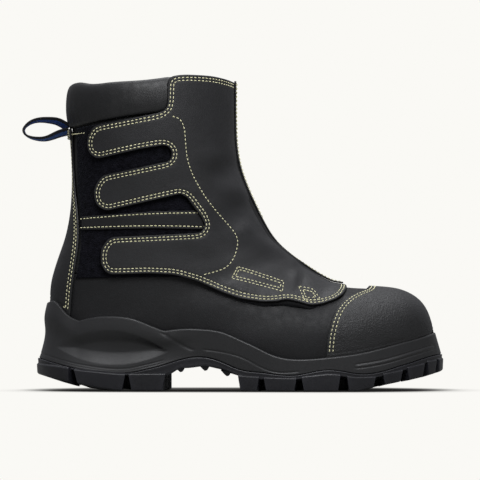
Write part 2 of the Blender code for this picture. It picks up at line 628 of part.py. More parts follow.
def build_overlays():
    edge = [(75.3, 26.2), (76, 42), (79.3, 55.4), (85, 66), (93, 72), (101, 75.3), (107, 77)]
    front = [(x, z + 1.2) for x, z in LIP_LINE if 78 < x < 153]
    run = locate(subdivided(edge[::-1] + front, 8, closed=False), 1, 1.0)
    half = np.vstack([[(angle_of(108.7, 79.6), 0.0)], run, [(angle_of(154.7, 46.2), 0.0)]])
    layer("toe_bumper", joined(half, mirrored(half[1:-1])), OVERLAY_LAYER, "pebbled_leather", cell=9.5)

    edge = [(-124, 199), (-122, 156), (-120, 139), (-119.3, 114), (-121, 100), (-124, 78), (-125.6, 60.5)]
    foot = [(-131, 63.5), (-136, 68.5)]
    run = locate(subdivided(edge + foot, 8, closed=False), 1, 1.0)
    run = run[run[:, 1] < BACK - 0.08]
    top = shaft_points(np.array([203.5]), np.array([BACK]))
    bottom = [(angle_of(-140.1, 72), BACK)]
    other = run[::-1] * [1, -1] + [0, 2 * BACK]
    layer("back_stay", joined(top, run, bottom, other), OVERLAY_LAYER, "collar_leather", cell=8)

    panel = [(-120.6, 203.6, 0), (-106.8, 206.2, 0), (-79.4, 211, 0), (-57.6, 213.6, 0), (-38, 214), (-30, 180, 0),
             (-20, 150, 0), (-6, 122, 0), (0, 100, 0), (-8, 88, 0), (-60, 88.5, 0), (-121.6, 87.2, 0),
             (-119, 99, 0), (-117.2, 114, 0), (-118, 139, 0), (-120, 156, 0)]
    layer("loop_panel", side_outline(panel, -1, 1.2, 9), PILE_LAYER, "loop_pile", cell=11)

    strap = [(-116.6, 124.7), (-60, 126, 200), (-18, 125), (-20, 140), (-60, 139.2, 200), (-116.8, 135.2)]
    layer("quarter_strap", side_outline(strap, -1, 2.8, 8), STRAP_LAYER, "oiled_leather", cell=7)


def build_collar():
    """The padded collar: a leather cover over foam, open below where the quarter runs up into it."""
    turns = np.linspace(COLLAR_FROM, FULL_TURN - COLLAR_FROM, 25)
    seam, top = np.array(COLLAR_SEAM), np.array(COLLAR_TOP)
    reach = surface(168, turns)[:, 0]
    low, high = np.interp(reach, seam[:, 0], seam[:, 1]), np.interp(reach, top[:, 0], top[:, 1])
    fade = smooth_step((math.pi - COLLAR_FROM - np.abs(turns - math.pi)) / 0.6)

    def ring(shares, offsets, swell):
        out = []
        for k, turn in enumerate(turns):
            heights = low[k] + (high[k] - low[k]) * np.array(shares)
            at = shaft_points(heights, np.full(len(shares), turn))
            base, n = surface(at[:, 0], at[:, 1]), normal(at[:, 0], at[:, 1])
            n[:, 2] = 0
            n /= np.linalg.norm(n, axis=1, keepdims=True)
            out.append(base + n * (np.array(offsets) + swell * fade[k] * np.array(shares) ** 0.4)[:, None])
        return out

    def tube(name, shares, offsets, swell, slot):
        rings = ring(shares, offsets, swell)
        m = len(shares)
        faces = [[k * m + j, k * m + (j + 1) % m, (k + 1) * m + (j + 1) % m, (k + 1) * m + j]
                 for k in range(len(rings) - 1) for j in range(m)]
        faces += [list(range(m)), [(len(rings) - 1) * m + j for j in reversed(range(m))]]
        return mesh_object(name, np.vstack(rings), faces, slot, flat={len(faces) - 1, len(faces) - 2})

    tube("collar", [0, 0.15, 0.5, 0.86, 0.98, 0.98, 0.86, 0.5, 0.1, 0.1, 0.5, 0.83, 0.93, 0.93, 0.83, 0.5, 0.15, 0],
         [2.3, 3.0, 3.3, 2.5, 0.3, -5.0, -7.6, -8.2, -8.0, -7.0, -7.1, -6.4, -4.2, -0.6, 1.2, 2.0, 1.7, 1.0],
         0.9, "collar_leather")
    tube("collar_foam", [0.16, 0.5, 0.82, 0.92, 0.92, 0.82, 0.5, 0.16], [1.2, 1.5, 0.7, -0.9, -4.0, -5.9, -6.6, -6.6],
         0.9, "padding_foam")


# ---------------------------------------------------------------- flap
def ridge_chord():
    """The flap turns about this line, just in front of the two ends of the seam down its front edge."""
    top = offset_surface(*np.array([angle_of(-4.4, 242.5), 0.0]).reshape(2, 1), HINGE_OFFSETS[0])[0]
    low = offset_surface(*np.array([angle_of(88.5, 80.2), 0.0]).reshape(2, 1), HINGE_OFFSETS[1])[0]
    return top, low


def build_flap():
    ridge = locate([FLAP_TIP, (-4.4, 241.5)], -1)
    top = locate(subdivided(FLAP_TOP, 9, closed=False), -1, 5)
    lower = locate(subdivided(FLAP_LOWER, 8, closed=False), -1, 5)
    g = CLEARANCE
    notch_one = filleted([(-50.5 + g, 216), (-50.2 + g, 190.6), (-45.8, 186.8, 4), (-46.2, 180.4, 4), (-47.2, 178.5)], 0.7)
    notch_two = filleted([(-46.6, 178), (-39.8, 152.6), (-33.5, 147, 9), (-21.2, 130.5, 7), (-27.8 + g, 122.4),
                          (-26.6, 85.2)], 0.6)
    roots = locate(subdivided(np.vstack([notch_one, notch_two]), 8, closed=False), -1, 5)
    front = turn_line(ridge[0, 0], top[0, 0], -RIDGE_GAP, 8)
    outline = joined(front, top, roots, lower)
    origin = ridge_chord()[0]
    flap = layer("flap", outline, (flap_low, flap_high), "oiled_leather", cell=9, origin=origin)

    fingers = []
    for name, corners in (
        ("finger_upper", FINGER_UPPER), ("finger_middle", FINGER_MIDDLE), ("finger_lower", FINGER_LOWER),
    ):
        at = locate([corners[0][:2]], -1, 5)
        hinge = offset_surface(at[:, 0], at[:, 1], flap_high)[0]
        outline = side_outline(corners, -1, 5, 8)
        fingers.append(layer(name, outline, (flap_low, flap_high), "oiled_leather", 9, hinge))
    for name, corners, origin_from in (
        ("hook_tape_upper", [(-58, 209, 3), (-103, 199.5, 3), (-105.5, 186.5, 3), (-62, 195.2, 3)], fingers[0]),
        ("hook_tape_middle", [(-54, 171.2, 3), (-98.5, 161.4, 3), (-99, 146.5, 3), (-50, 157, 3)], fingers[1]),
        ("hook_tape_lower", [(-36, 115.5, 3), (-94.5, 113.5, 3), (-95.5, 96.5, 3), (-40, 95.5, 3)], fingers[2]),
    ):
        hinge = np.array(origin_from.location) / MM
        layer(name, side_outline(corners, -1, 2.8, 8), HOOK_LAYER, "hook_tape", 8, hinge)

    medial_back = [(-49, 240), (-48, 200), (-40, 160), (-26, 128), (-6, 100), (12, 84)]
    top = locate(subdivided([(-5, 241.5), (-28, 243), (-46, 242.5)], 9, closed=False), 1, 5)
    edge = locate(subdivided(medial_back + [p for p in FLAP_LOWER if p[0] > 20], 8, closed=False), 1, 5)
    front = turn_line(ridge[0, 0], top[0, 0], RIDGE_GAP, 8)
    layer("front_panel_medial", joined(front, top, edge), (flap_low, flap_high), "oiled_leather", 9)

    low, high = ridge[0, 0] - 0.4, top[0, 0] + 0.4
    strip = np.vstack([turn_line(low, high, 0.03, 7), turn_line(high, low, 0.15, 7)])
    layer("front_seam_strip", strip, (strip_low, strip_high), "edge_tape", cell=7)


def build_guard():
    """Metatarsal guard over the instep, with the felt pad that backs the lower edge of the flap."""
    lateral = [(20, 112), (6, 97), (14, 84), (50, 80), (76, 81)]
    run = locate(subdivided(lateral, 8, closed=False), 1, 2)
    half = np.vstack([[(angle_of(30, 108.7), 0.0)], run[1:-1], [(angle_of(81, 81.2), 0.0)]])
    layer("metatarsal_guard", joined(half, mirrored(half[1:-1])), GUARD_LAYER, "guard_plastic", 8)

    pad = [(-22, 84.6, 0), (-4, 77, 0), (8, 70, 0), (24, 66.6, 0), (40, 67.6, 0), (60, 64.8, 0), (74, 69.2, 0), (79, 73.5, 0),
           (60, 77, 0), (50, 78, 0), (13, 81.6, 0), (-6, 88, 0)]
    layer("flap_edge_pad", side_outline(pad, -1, 2.5, 8), (1.0, pad_high), "felt_padding", 8, ridge_chord()[0])


# ---------------------------------------------------------------- pull loop
LOOP_PATH = [
    (-130.4, 205.4), (-132.5, 208.4), (-137, 210.6), (-146, 211.4), (-156, 209.4), (-161.4, 205.5), (-162.9, 202.5),
    (-161, 199.4), (-156, 196.4), (-148.6, 195), (-141, 196.4), (-135, 198.6), (-130.4, 200.5),
]
LOOP_WIDTH, LOOP_THICK = 18.0, 1.8
LOOP_PIVOT = (-129.4, HEEL_SHIFT, 202.9)


def build_pull_loop():
    line = spline_through(LOOP_PATH, 2)
    along = np.gradient(line, axis=0)
    along /= np.linalg.norm(along, axis=1, keepdims=True)
    out = np.stack([-along[:, 1], along[:, 0]], axis=1) * LOOP_THICK / 2
    points, faces = [], []
    for p, o in zip(line, out):
        for q, y in ((p + o, -1), (p + o, 1), (p - o, 1), (p - o, -1)):
            points.append((q[0], y * LOOP_WIDTH / 2 + HEEL_SHIFT, q[1]))
    n = len(line)
    for i in range(n - 1):
        for j in range(4):
            a, b = i * 4 + j, i * 4 + (j + 1) % 4
            faces.append([a, b, b + 4, a + 4])
    faces += [[0, 1, 2, 3], [4 * n - 1 - j for j in range(4)]]
    mesh_object("pull_loop", points, faces, "loop_webbing", LOOP_PIVOT)

    corners = [(195.2, BACK - 0.26), (203.4, BACK - 0.26), (203.4, BACK + 0.26), (195.2, BACK + 0.26)]
    outline = [shaft_points(np.array([z]), np.array([t]))[0] for z, t in corners]
    layer("pull_loop_anchor", subdivided(np.array(outline), 0.2), (2.7, 4.0), "loop_webbing", cell=9)


# ---------------------------------------------------------------- sole
def perimeter(count=26):
    """Points of the feather outline in plan, from the toe round the outer side to the heel and back, and their
    outward directions: (x, y, nx, ny, side)."""
    mirror = [(x, -y) for x, y in FEATHER_PLAN[-2:0:-1]]
    outline = spline_through(list(FEATHER_PLAN) + mirror, closed=True)
    outline = np.stack([outline[:, 0], -outline[:, 1]], axis=1)
    ring = resampled(outline, 1.0, closed=True)
    at = np.linspace(0, len(ring), 2 * count, endpoint=False)
    number = np.arange(len(ring) + 1)
    ring = np.stack([np.interp(at, number, np.append(ring[:, k], ring[0, k])) for k in range(2)], axis=1)
    ahead = np.roll(ring, -1, axis=0) - np.roll(ring, 1, axis=0)
    ahead /= np.linalg.norm(ahead, axis=1, keepdims=True)
    out = np.stack([ahead[:, 1], -ahead[:, 0]], axis=1)
    if (out * (ring - [10, 0])).sum() < 0:
        out = -out
    return ring, out


def spread_of(out):
    """How far the sole stands out beyond the feather line, by direction."""
    return 5.0 + np.where(out[:, 0] < 0, 7.2, 2.6) * out[:, 0] ** 2


def in_plan(ring, out, distance, heights):
    """The ring moved outwards by a distance, or by one for each point, at these heights."""
    p = ring + out * np.broadcast_to(distance, len(ring))[:, None]
    return np.column_stack([p[:, 0], p[:, 1] + swing(ring[:, 0]), heights])


def ringed(name, rings, slot):
    """A solid from closed rings of points, capped at both ends by strips across from side to side."""
    n = len(rings[0])
    faces = []
    for r in range(len(rings) - 1):
        for k in range(n):
            faces.append([r * n + k, r * n + (k + 1) % n, (r + 1) * n + (k + 1) % n, (r + 1) * n + k])
    for base in (0, (len(rings) - 1) * n):
        for k in range(n // 2):
            quad = [k, k + 1, (n - k - 1) % n, (n - k) % n]
            quad = [base + q for i, q in enumerate(quad) if q not in quad[:i]]
            faces.append(quad)
    return mesh_object(name, np.vstack(rings), faces, slot)


def feather_height(x):
    line = spline_through(END_LINE)
    foot = line[: int(np.argmin(line[:, 0])) + 1]
    foot = foot[np.argsort(foot[:, 0])]
    return np.interp(x, foot[:, 0], foot[:, 1])


def sole_heights(ring):
    x = ring[:, 0]
    sole_x = (x + 138.6) / 294.1 * 314.0 - 151.2
    return {
        "sole_x": sole_x, "feather": feather_height(np.clip(x, -128, 155)), "boundary": line_at(BOUNDARY_LINE, sole_x),
        "lip": line_at(LIP_LINE, (x + 138.6) / 294.1 * 300.2 - 142.9),
        "plate": line_at(PLATE_LINE, sole_x), "ground": line_at(GROUND_LINE, sole_x),
    }


BOARD_TOP, BOARD_THICK = 0.5, 2.4


def build_sole():
    ring, out = perimeter()
    h = sole_heights(ring)
    n = len(ring)
    side = np.where(ring[:, 1] > 0, 1, -1)
    lip_x = (ring[:, 0] + 138.6) / 294.1 * 294.6 - 140.0
    floor = h["feather"] - BOARD_TOP - BOARD_THICK - 0.4

    heel = smooth_step((-ring[:, 0] - 20) / 40)
    inner_rows = []
    for share in (0.25, 0.6, 1.0):
        z = h["feather"] + 0.3 + (h["lip"] - h["feather"] - 0.3) * share
        x = ring[:, 0] + (lip_x - ring[:, 0]) * share
        at = np.array([locate([(x[k], z[k])], side[k])[0] for k in range(n)])
        row = offset_surface(at[:, 0], at[:, 1], lambda angle, turn: 1.0 + 0.8 * heel)
        row[:, 2] = z
        for k in (0, n // 2):
            row[k, 1] = swing(ring[k, 0])
        inner_rows.append(row)
    lip_outer = inner_rows[-1] + np.column_stack([out * 2.9, np.full(n, 0.0)])
    spread = spread_of(out)
    bottom = in_plan(ring, out, spread, h["boundary"])
    inset = [ring[:, 0] + d * out[:, 0] for d in (-8.0, -9.0)]
    rows = [in_plan(ring, out, -8.0, inner_boundary(inset[0])), bottom]
    for share, hollow in ((0.35, -2.0), (0.62, -0.4), (0.85, 0.4)):
        row = bottom + (lip_outer - bottom) * share
        row[:, :2] += out * (hollow * heel)[:, None]
        rows.append(row)
    rows += [lip_outer, inner_rows[2], inner_rows[1], inner_rows[0], in_plan(ring, out, 0.6, floor)]
    midsole = ringed("midsole", rows, "midsole_rubber")

    board = [in_plan(ring, out, 0.0, h["feather"] - BOARD_TOP - thick) for thick in (BOARD_THICK, 0)]
    ringed("insole_board", board, "fibre_board")
    profile = ((9.6, 0.2), (8.8, 2.5), (9.4, 4.6))
    ringed("footbed", [in_plan(ring, out, -inset - 2 * heel, h["feather"] + up) for inset, up in profile],
           "footbed_foam")

    shank_x = np.linspace(-88, -8, 9)
    floor_at = feather_height(shank_x) - BOARD_TOP - BOARD_THICK - 0.4

    def strip(name, grow, top, low, half):
        x = shank_x + grow * np.array([-1] + [0] * (len(shank_x) - 2) + [1])
        corners = ((-half, -low), (half, -low), (half, top), (-half, top))
        points, faces = [], []
        prism([[(xi, y + HEEL_SHIFT, z + up) for y, up in corners] for xi, z in zip(x, floor_at)], points, faces)
        return mesh_object(name, points, faces, "bright_steel")

    strip("steel_shank", 0, -0.3, 1.8, 7.5)
    united(midsole, strip("shank_pocket", 0.5, 3.0, 2.2, 8.0), "DIFFERENCE")

    spread = spread + 0.8
    gap = 0.35
    plate = [
        in_plan(ring, out, -8.0, inner_boundary(inset[0]) - gap),
        in_plan(ring, out, spread - 0.3, h["boundary"] - gap),
        in_plan(ring, out, spread, h["boundary"] - gap - 0.8),
        in_plan(ring, out, spread, h["plate"]),
        in_plan(ring, out, -9.0, plate_under(inset[1])),
    ]
    outsole = ringed("outsole", plate, "outsole_rubber")
    add_lugs(outsole, ring, out, spread)


def prism(sections, points, faces):
    """Adds one closed block to points and faces from its cross-sections of four points each."""
    base, n = len(points), len(sections)
    points += [p for row in sections for p in row]
    for i in range(n - 1):
        here, ahead = base + i * 4, base + i * 4 + 4
        faces += [[here + j, here + (j + 1) % 4, ahead + (j + 1) % 4, ahead + j] for j in range(4)]
    faces += [[base, base + 1, base + 2, base + 3], [base + 4 * n - 1 - j for j in range(4)]]


def inner_boundary(sole_x):
    """Height of the joint between midsole and outsole, away from the edge: lower in the forefoot."""
    return line_at(BOUNDARY_LINE, sole_x) - 3.4 * smooth_step((sole_x - 5) / 20)


def plate_under(sole_x):
    return np.minimum(line_at(PLATE_LINE, sole_x), inner_boundary(sole_x) - 3.6)


def add_lugs(outsole, ring, out, spread):
    """The tread: blocks round the edge, blocks down the middle and ribs under the arch."""
    dense = resampled(np.column_stack([ring, out, spread]), 1.0, closed=True)
    edge = dense[:, :2] + dense[:, 2:4] * dense[:, 4:5]
    sole_x = (dense[:, 0] + 138.6) / 294.1 * 314.0 - 151.2
    points, faces = [], []

    def edge_lug(picked, depth, steps=3, taper=1.6):
        chosen = picked[np.linspace(0, len(picked) - 1, steps + 1).round().astype(int)]
        sections = []
        for j, k in enumerate(chosen):
            (x, y), n = edge[k], dense[k, 2:4]
            y += swing(dense[k, 0])
            up, down = line_at(PLATE_LINE, sole_x[k]), line_at(GROUND_LINE, sole_x[k])
            along = (edge[chosen[-1]] - edge[chosen[0]])
            along = along / np.linalg.norm(along) * taper * (2 * j / steps - 1)
            inner = x - n[0] * depth
            deep, root = line_at(GROUND_LINE, inner), plate_under(inner) + 1.2
            sections.append([
                (x - n[0] * 0.25 + along[0], y - n[1] * 0.25 + along[1], up + 0.7),
                (x - n[0], y - n[1], down), (x - n[0] * depth, y - n[1] * depth, deep),
                (x - n[0] * depth + along[0], y - n[1] * depth + along[1], root),
            ])
        prism(sections, points, faces)

    for side in (-1, 1):
        for low, high in LUG_RANGES + HEEL_LUG_RANGES:
            within = (edge[:, 0] >= low) & (edge[:, 0] <= high)
            picked = np.where((np.sign(edge[:, 1]) == side) & within)[0]
            depth = 26 if high < -50 else 19 if low < 130 else 13 if low < 150 else 8
            edge_lug(picked[np.argsort(edge[picked, 0])], depth)
    toe = np.where(edge[:, 0] > TOE_LUG_FROM)[0]
    edge_lug(toe[np.argsort(edge[toe, 1])], 8, 4)
    heel = np.where(edge[:, 0] < HEEL_LUG_TO)[0]
    edge_lug(heel[np.argsort(edge[heel, 1])], 17, 8)

    for low, high, half in CENTRE_LUGS + [(-112, -64, 7.5)]:
        y = swing(np.array([low, high]))
        top, ground = plate_under(np.array([low, high])) + 1.2, line_at(GROUND_LINE, (low, high))
        prism([[(x + d, yy - half - 1, t), (x, yy - half, g), (x, yy + half, g), (x + d, yy + half + 1, t)]
               for x, d, yy, t, g in zip((low, high), (-1.5, 1.5), y, top, ground)], points, faces)
    for x in ARCH_RIBS:
        z = plate_under(x)
        prism([[(x - 2.6, y, z + 1.5), (x - 1.2, y, z - 1.7), (x + 1.2, y, z - 1.7), (x + 2.6, y, z + 1.5)]
               for y in (-38.5, 0, 38.5)], points, faces)
    lugs = mesh_object("outsole_lugs", points, faces, "outsole_rubber")
    united(outsole, lugs, "UNION")


build_lining()
build_base()
build_inserts()
build_overlays()
build_collar()
build_guard()
build_flap()
build_pull_loop()
build_sole()
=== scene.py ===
"""Looks of the fire boot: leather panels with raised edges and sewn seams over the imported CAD, a sculpted sole, a
padded collar, the stage, lights and camera. Lengths are in mm and angles in degrees round the pivot until an object
is made, as in the CAD source, whose curves are repeated here so that each piece lies where its solid lies."""

import math

import bmesh
import bpy
import numpy as np
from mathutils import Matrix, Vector, noise
from mathutils.geometry import delaunay_2d_cdt
from mathutils.kdtree import KDTree


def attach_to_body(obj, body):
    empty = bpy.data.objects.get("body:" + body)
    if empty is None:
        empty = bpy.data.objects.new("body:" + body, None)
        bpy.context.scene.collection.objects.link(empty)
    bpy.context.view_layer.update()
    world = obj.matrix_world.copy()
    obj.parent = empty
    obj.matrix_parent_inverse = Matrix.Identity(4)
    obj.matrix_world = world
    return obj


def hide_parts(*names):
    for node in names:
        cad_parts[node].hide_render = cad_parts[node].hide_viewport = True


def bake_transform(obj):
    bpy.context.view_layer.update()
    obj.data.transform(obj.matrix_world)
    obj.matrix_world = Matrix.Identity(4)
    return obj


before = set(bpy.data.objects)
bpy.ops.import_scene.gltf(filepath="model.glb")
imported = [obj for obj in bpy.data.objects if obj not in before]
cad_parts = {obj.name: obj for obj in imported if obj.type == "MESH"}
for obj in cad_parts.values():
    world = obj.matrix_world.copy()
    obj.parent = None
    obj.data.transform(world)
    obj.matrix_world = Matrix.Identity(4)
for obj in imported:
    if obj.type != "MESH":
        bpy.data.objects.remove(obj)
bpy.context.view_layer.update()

MM = 0.001
FULL_TURN = 2 * math.pi
BACK = math.pi
PIVOT = np.array([215.0, 160.0])  # the rays from here cut the boot into its sections
LEATHER = 2.0
FLAP_REST, FLAP_THICK = 4.0, 2.1
SPAN_SAMPLES = 24  # points that a spline gives in each of its spans


# ---------------------------------------------------------------- curves
def unit(v):
    """The vectors along the last axis, brought to length 1."""
    return v / np.maximum(np.linalg.norm(v, axis=-1, keepdims=True), 1e-9)


def run_along(points):
    """How far along their line the points lie."""
    return np.concatenate([[0], np.cumsum(np.linalg.norm(np.diff(points, axis=0), axis=1))])


def at_run(line, run, where):
    """Points of the line at these places of its run."""
    return np.stack([np.interp(where, run, line[:, k]) for k in range(line.shape[1])], axis=1)


def even(line, step=1.0, count=None):
    """A closed line with points about step apart, or with this many points."""
    line = np.vstack([line, line[:1]])
    run = run_along(line)
    count = count or max(2, round(run[-1] / step))
    return at_run(line, run, np.linspace(0, run[-1], count, endpoint=False))


def spline_through(points, samples=SPAN_SAMPLES, closed=False):
    """Points along a cubic spline through the given ones, with the same number in each span."""
    p = np.array(points, float)
    wrap = 4 if closed else 0
    if closed:
        p = np.vstack([p[-wrap:], p, p[: wrap + 1]])
    t = run_along(p)
    n, h = len(p), np.diff(t)
    system, right = np.eye(n), np.zeros(p.shape)
    for i in range(1, n - 1):
        system[i, i - 1 : i + 2] = h[i - 1], 2 * (h[i - 1] + h[i]), h[i]
        right[i] = 6 * ((p[i + 1] - p[i]) / h[i] - (p[i] - p[i - 1]) / h[i - 1])
    bend = np.linalg.solve(system, right)
    spans = range(wrap, n - 1 - wrap)
    at = [np.linspace(t[i], t[i + 1], samples, endpoint=False) for i in spans]
    at = np.concatenate(at + [[t[spans[-1] + 1]]])
    i = np.clip(np.searchsorted(t, at, side="right") - 1, 0, n - 2)
    a = ((t[i + 1] - at) / h[i])[:, None]
    b = 1 - a
    bent = ((a**3 - a) * bend[i] + (b**3 - b) * bend[i + 1]) * (h[i] ** 2)[:, None] / 6
    curve = a * p[i] + b * p[i + 1] + bent
    return curve[:-1] if closed else curve


def smooth_step(x):
    x = np.clip(x, 0, 1)
    return x * x * (3 - 2 * x)


def filleted(corners, arc_step=0.35):
    """An open or closed outline from corners (x, z, radius), with a round arc at each corner that has a radius."""
    corners = [c if len(c) == 3 else (*c, 0) for c in corners]
    points = []
    for i, (x, z, radius) in enumerate(corners):
        here = np.array([x, z], float)
        if radius == 0 or i in (0, len(corners) - 1):
            points.append(here)
            continue
        back = np.array(corners[i - 1][:2], float) - here
        ahead = np.array(corners[i + 1][:2], float) - here
        back, ahead = unit(back), unit(ahead)
        half = math.acos(float(np.clip(back @ ahead, -1, 1))) / 2
        centre = here + unit(back + ahead) * radius / math.sin(half)
        start, end = here + back * radius / math.tan(half), here + ahead * radius / math.tan(half)
        turn = math.pi - 2 * half
        steps = max(2, math.ceil(turn / arc_step))
        for k in range(steps + 1):
            share = k / steps
            ray = (start - centre) * math.sin((1 - share) * turn) + (end - centre) * math.sin(share * turn)
            points.append(centre + ray / math.sin(turn))
    return np.array(points)


# ---------------------------------------------------------------- outlines of the last, seen from the side
# Front and top line, from above the collar down the shin and over the instep to the toe.
FRONT_LINE = [
    (-4.5, 268), (-4.5, 240), (-4.4, 205), (-3.4, 187), (-0.2, 170), (6.6, 150.5), (15.8, 131), (28, 111.5),
    (40.5, 99.8), (54, 90.6), (66, 85.3), (77, 82), (90, 80), (104, 79.2), (118, 78.2), (129, 76.6),
    (137, 73.6), (144.5, 68.4), (149.6, 61.5), (152.8, 53), (154.8, 44), (155.5, 36),
]
# Feather line, where the upper meets the sole, from the toe to the heel, then the line up the back.
END_LINE = [
    (155.5, 36), (148, 32.5), (124, 26.5), (100, 21.8), (72, 19.4), (47, 19.2), (27, 22.5), (6, 29), (-15, 34.5),
    (-40, 38.5), (-75, 41.5), (-108, 42.6), (-130, 43.6), (-138.6, 48), (-140.2, 60), (-139.8, 74), (-138.8, 84),
    (-136.3, 93.5), (-133.2, 103), (-129.8, 112.5), (-126.8, 123), (-124.6, 135), (-123.2, 150), (-123, 175),
    (-124.3, 198), (-124.8, 225), (-124.8, 262), (-124.8, 320),
]
HEEL_END = (-138.6, 48)  # the feather line ends here and the back line starts

# Half-widths in plan, as (x, half width): of the feather line and of the upper at its widest.
FEATHER_PLAN = [
    (155.5, 0), (153.5, 15), (147, 27), (135.5, 38), (118, 45.5), (95, 49.8), (70, 50.5), (45, 48), (15, 42),
    (-15, 37.5), (-45, 35.8), (-75, 36), (-100, 35.6), (-119, 32), (-131, 23.5), (-137, 12), (-138.6, 0),
]
UPPER_PLAN = [
    (156, 0), (154.5, 15.5), (148.5, 28.5), (137, 40), (120, 48), (97, 52.3), (70, 53), (45, 50.3), (15, 45),
    (-15, 42), (-45, 41), (-75, 41), (-100, 40.5), (-119, 37), (-131, 27.5), (-137, 13), (-138.6, 0),
]
# Half-width of the leg and ankle by section angle.
LEG_WIDTH = [
    (154, 52), (162, 52), (168, 51), (173.5, 48.5), (179, 45), (185, 42.3), (191.5, 41), (198, 40.6), (204, 41.4),
    (210, 43.5), (216, 46), (224, 50), (245, 52),
]
# How far along its ray a section is widest, and how square its corners are, by section angle.
WIDEST_AT = [(154, 0.5), (175, 0.5), (192, 0.52), (202, 0.56), (214, 0.6), (230, 0.62), (245, 0.62)]
SQUARENESS = [(154, 0.05), (180, 0.05), (200, 0.04), (210, 0.06), (222, 0.14), (232, 0.2), (245, 0.15)]
TOE_SWING, SWING_FROM, SWING_POWER = 7.0, -20.0, 2.0  # the toe turns to the inner side
HEEL_SHIFT = -1.05  # centres the whole boot across y = 0

SECTION_STEP = 0.05
TIP_ANGLE = 244.3  # just short of the ray through the toe tip, where the sections shrink to nothing
NORMAL_STEP = (0.25, 0.02)  # in degrees along the boot and radians round it


# ---------------------------------------------------------------- the last: a fan of sections about the pivot
def angle_and_radius(line):
    d = np.array(line) - PIVOT
    angle = np.degrees(np.arctan2(d[:, 1], d[:, 0])) % 360
    order = np.argsort(angle)
    return angle[order], np.hypot(d[:, 0], d[:, 1])[order]


def half_width(plan):
    """x and half-width of the outline through these points, mirrored so that it is round at both ends."""
    mirrored = [(x, -y) for x, y in plan[-2:0:-1]]
    outline = spline_through(list(plan) + mirrored, closed=True)
    outline = outline[: len(plan[:-1]) * SPAN_SAMPLES + 1]
    order = np.argsort(outline[:, 0])
    return outline[order, 0], np.maximum(outline[order, 1], 0)


def by_angle(pairs, angles):
    line = spline_through(pairs)
    return np.interp(angles, line[:, 0], line[:, 1])


def section_table():
    """What each section needs, by angle: both ends of its ray, widths, squareness and where it is widest."""
    angles = np.arange(154.5, TIP_ANGLE, SECTION_STEP)
    near = np.interp(angles, *angle_and_radius(spline_through(FRONT_LINE)))
    far = np.interp(angles, *angle_and_radius(spline_through(END_LINE)))
    far = np.maximum(far, near + 0.5)
    widest = by_angle(WIDEST_AT, angles)
    x_far = PIVOT[0] + far * np.cos(np.radians(angles))
    x_widest = PIVOT[0] + (near + (far - near) * widest) * np.cos(np.radians(angles))
    heel_angle = angle_and_radius([HEEL_END])[0][0]
    foot = smooth_step((angles - 203) / 10)
    leg = by_angle(LEG_WIDTH, angles)
    wide = leg + (np.interp(x_widest, *half_width(UPPER_PLAN)) - leg) * foot
    end = np.where(angles > heel_angle, np.interp(x_far, *half_width(FEATHER_PLAN)), 0)
    return {
        "angle": angles, "near": near, "far": far, "widest": widest, "wide": wide,
        "end": np.minimum(end, wide), "square": by_angle(SQUARENESS, angles),
    }


SECTIONS = section_table()


def section(name, angle):
    return np.interp(angle, SECTIONS["angle"], SECTIONS[name])


def swing(x):
    """How far the boot's middle line lies to the inner side: y of the line."""
    return TOE_SWING * np.clip((x - SWING_FROM) / (155 - SWING_FROM), 0, 1) ** SWING_POWER + HEEL_SHIFT


def wrapped(turn):
    """The turn brought into the range from -pi to pi; both ends stay as they are."""
    return np.where(np.abs(turn) > math.pi + 1e-6, (turn + math.pi) % FULL_TURN - math.pi, turn)


def surface(angle, turn):
    """The outer face of the base leather. turn is 0 on the front line, pi at the back or the feather line,
    and negative on the outer side."""
    angle, turn = np.broadcast_arrays(np.asarray(angle, float), np.asarray(turn, float))
    turn = wrapped(turn)
    square, widest, wide, end = (section(k, angle) for k in ("square", "widest", "wide", "end"))
    near, far = section("near", angle), section("far", angle)
    c, s = np.cos(turn), np.abs(np.sin(turn))
    along = c * (1 + square * s * s)
    across = s * (1 + square * c * c)
    share = np.where(c >= 0, widest * (1 - along), widest - (1 - widest) * along)
    steep = np.clip(end / wide, 0, 1)  # the foot part meets the sole steeply, the leg closes round the back
    under = across * (1 - steep) + across * across * steep
    y = np.where(c >= 0, wide * across, end + (wide - end) * under) * np.where(turn < 0, -1, 1)
    radius = near + (far - near) * share
    x = PIVOT[0] + radius * np.cos(np.radians(angle))
    z = PIVOT[1] + radius * np.sin(np.radians(angle))
    return np.stack([x, y + swing(x), z], axis=-1)


def slopes(angle, turn):
    """How the surface moves with the angle and with the turn."""
    da, dt = NORMAL_STEP
    along = (surface(angle + da, turn) - surface(angle - da, turn)) / (2 * da)
    round_it = (surface(angle, turn + dt) - surface(angle, turn - dt)) / (2 * dt)
    return along, round_it


def normal(angle, turn):
    """Outward direction. Along the feather line it is taken from just above the line, on the same side."""
    angle, turn = np.broadcast_arrays(np.asarray(angle, float), np.asarray(turn, float))
    turn = wrapped(turn)
    edge = math.pi - 1.5 * NORMAL_STEP[1]
    below = angle > angle_and_radius([HEEL_END])[0][0]
    turn = np.where(below & (np.abs(turn) > edge), np.sign(turn) * edge, turn)
    along, round_it = slopes(np.minimum(angle, TIP_ANGLE - 0.5), turn)
    return unit(np.cross(along, round_it))


def offset_surface(angle, turn, offset):
    offset = offset(angle, turn) if callable(offset) else np.full(np.shape(angle), float(offset))
    return surface(angle, turn) + normal(angle, turn) * offset[..., None]


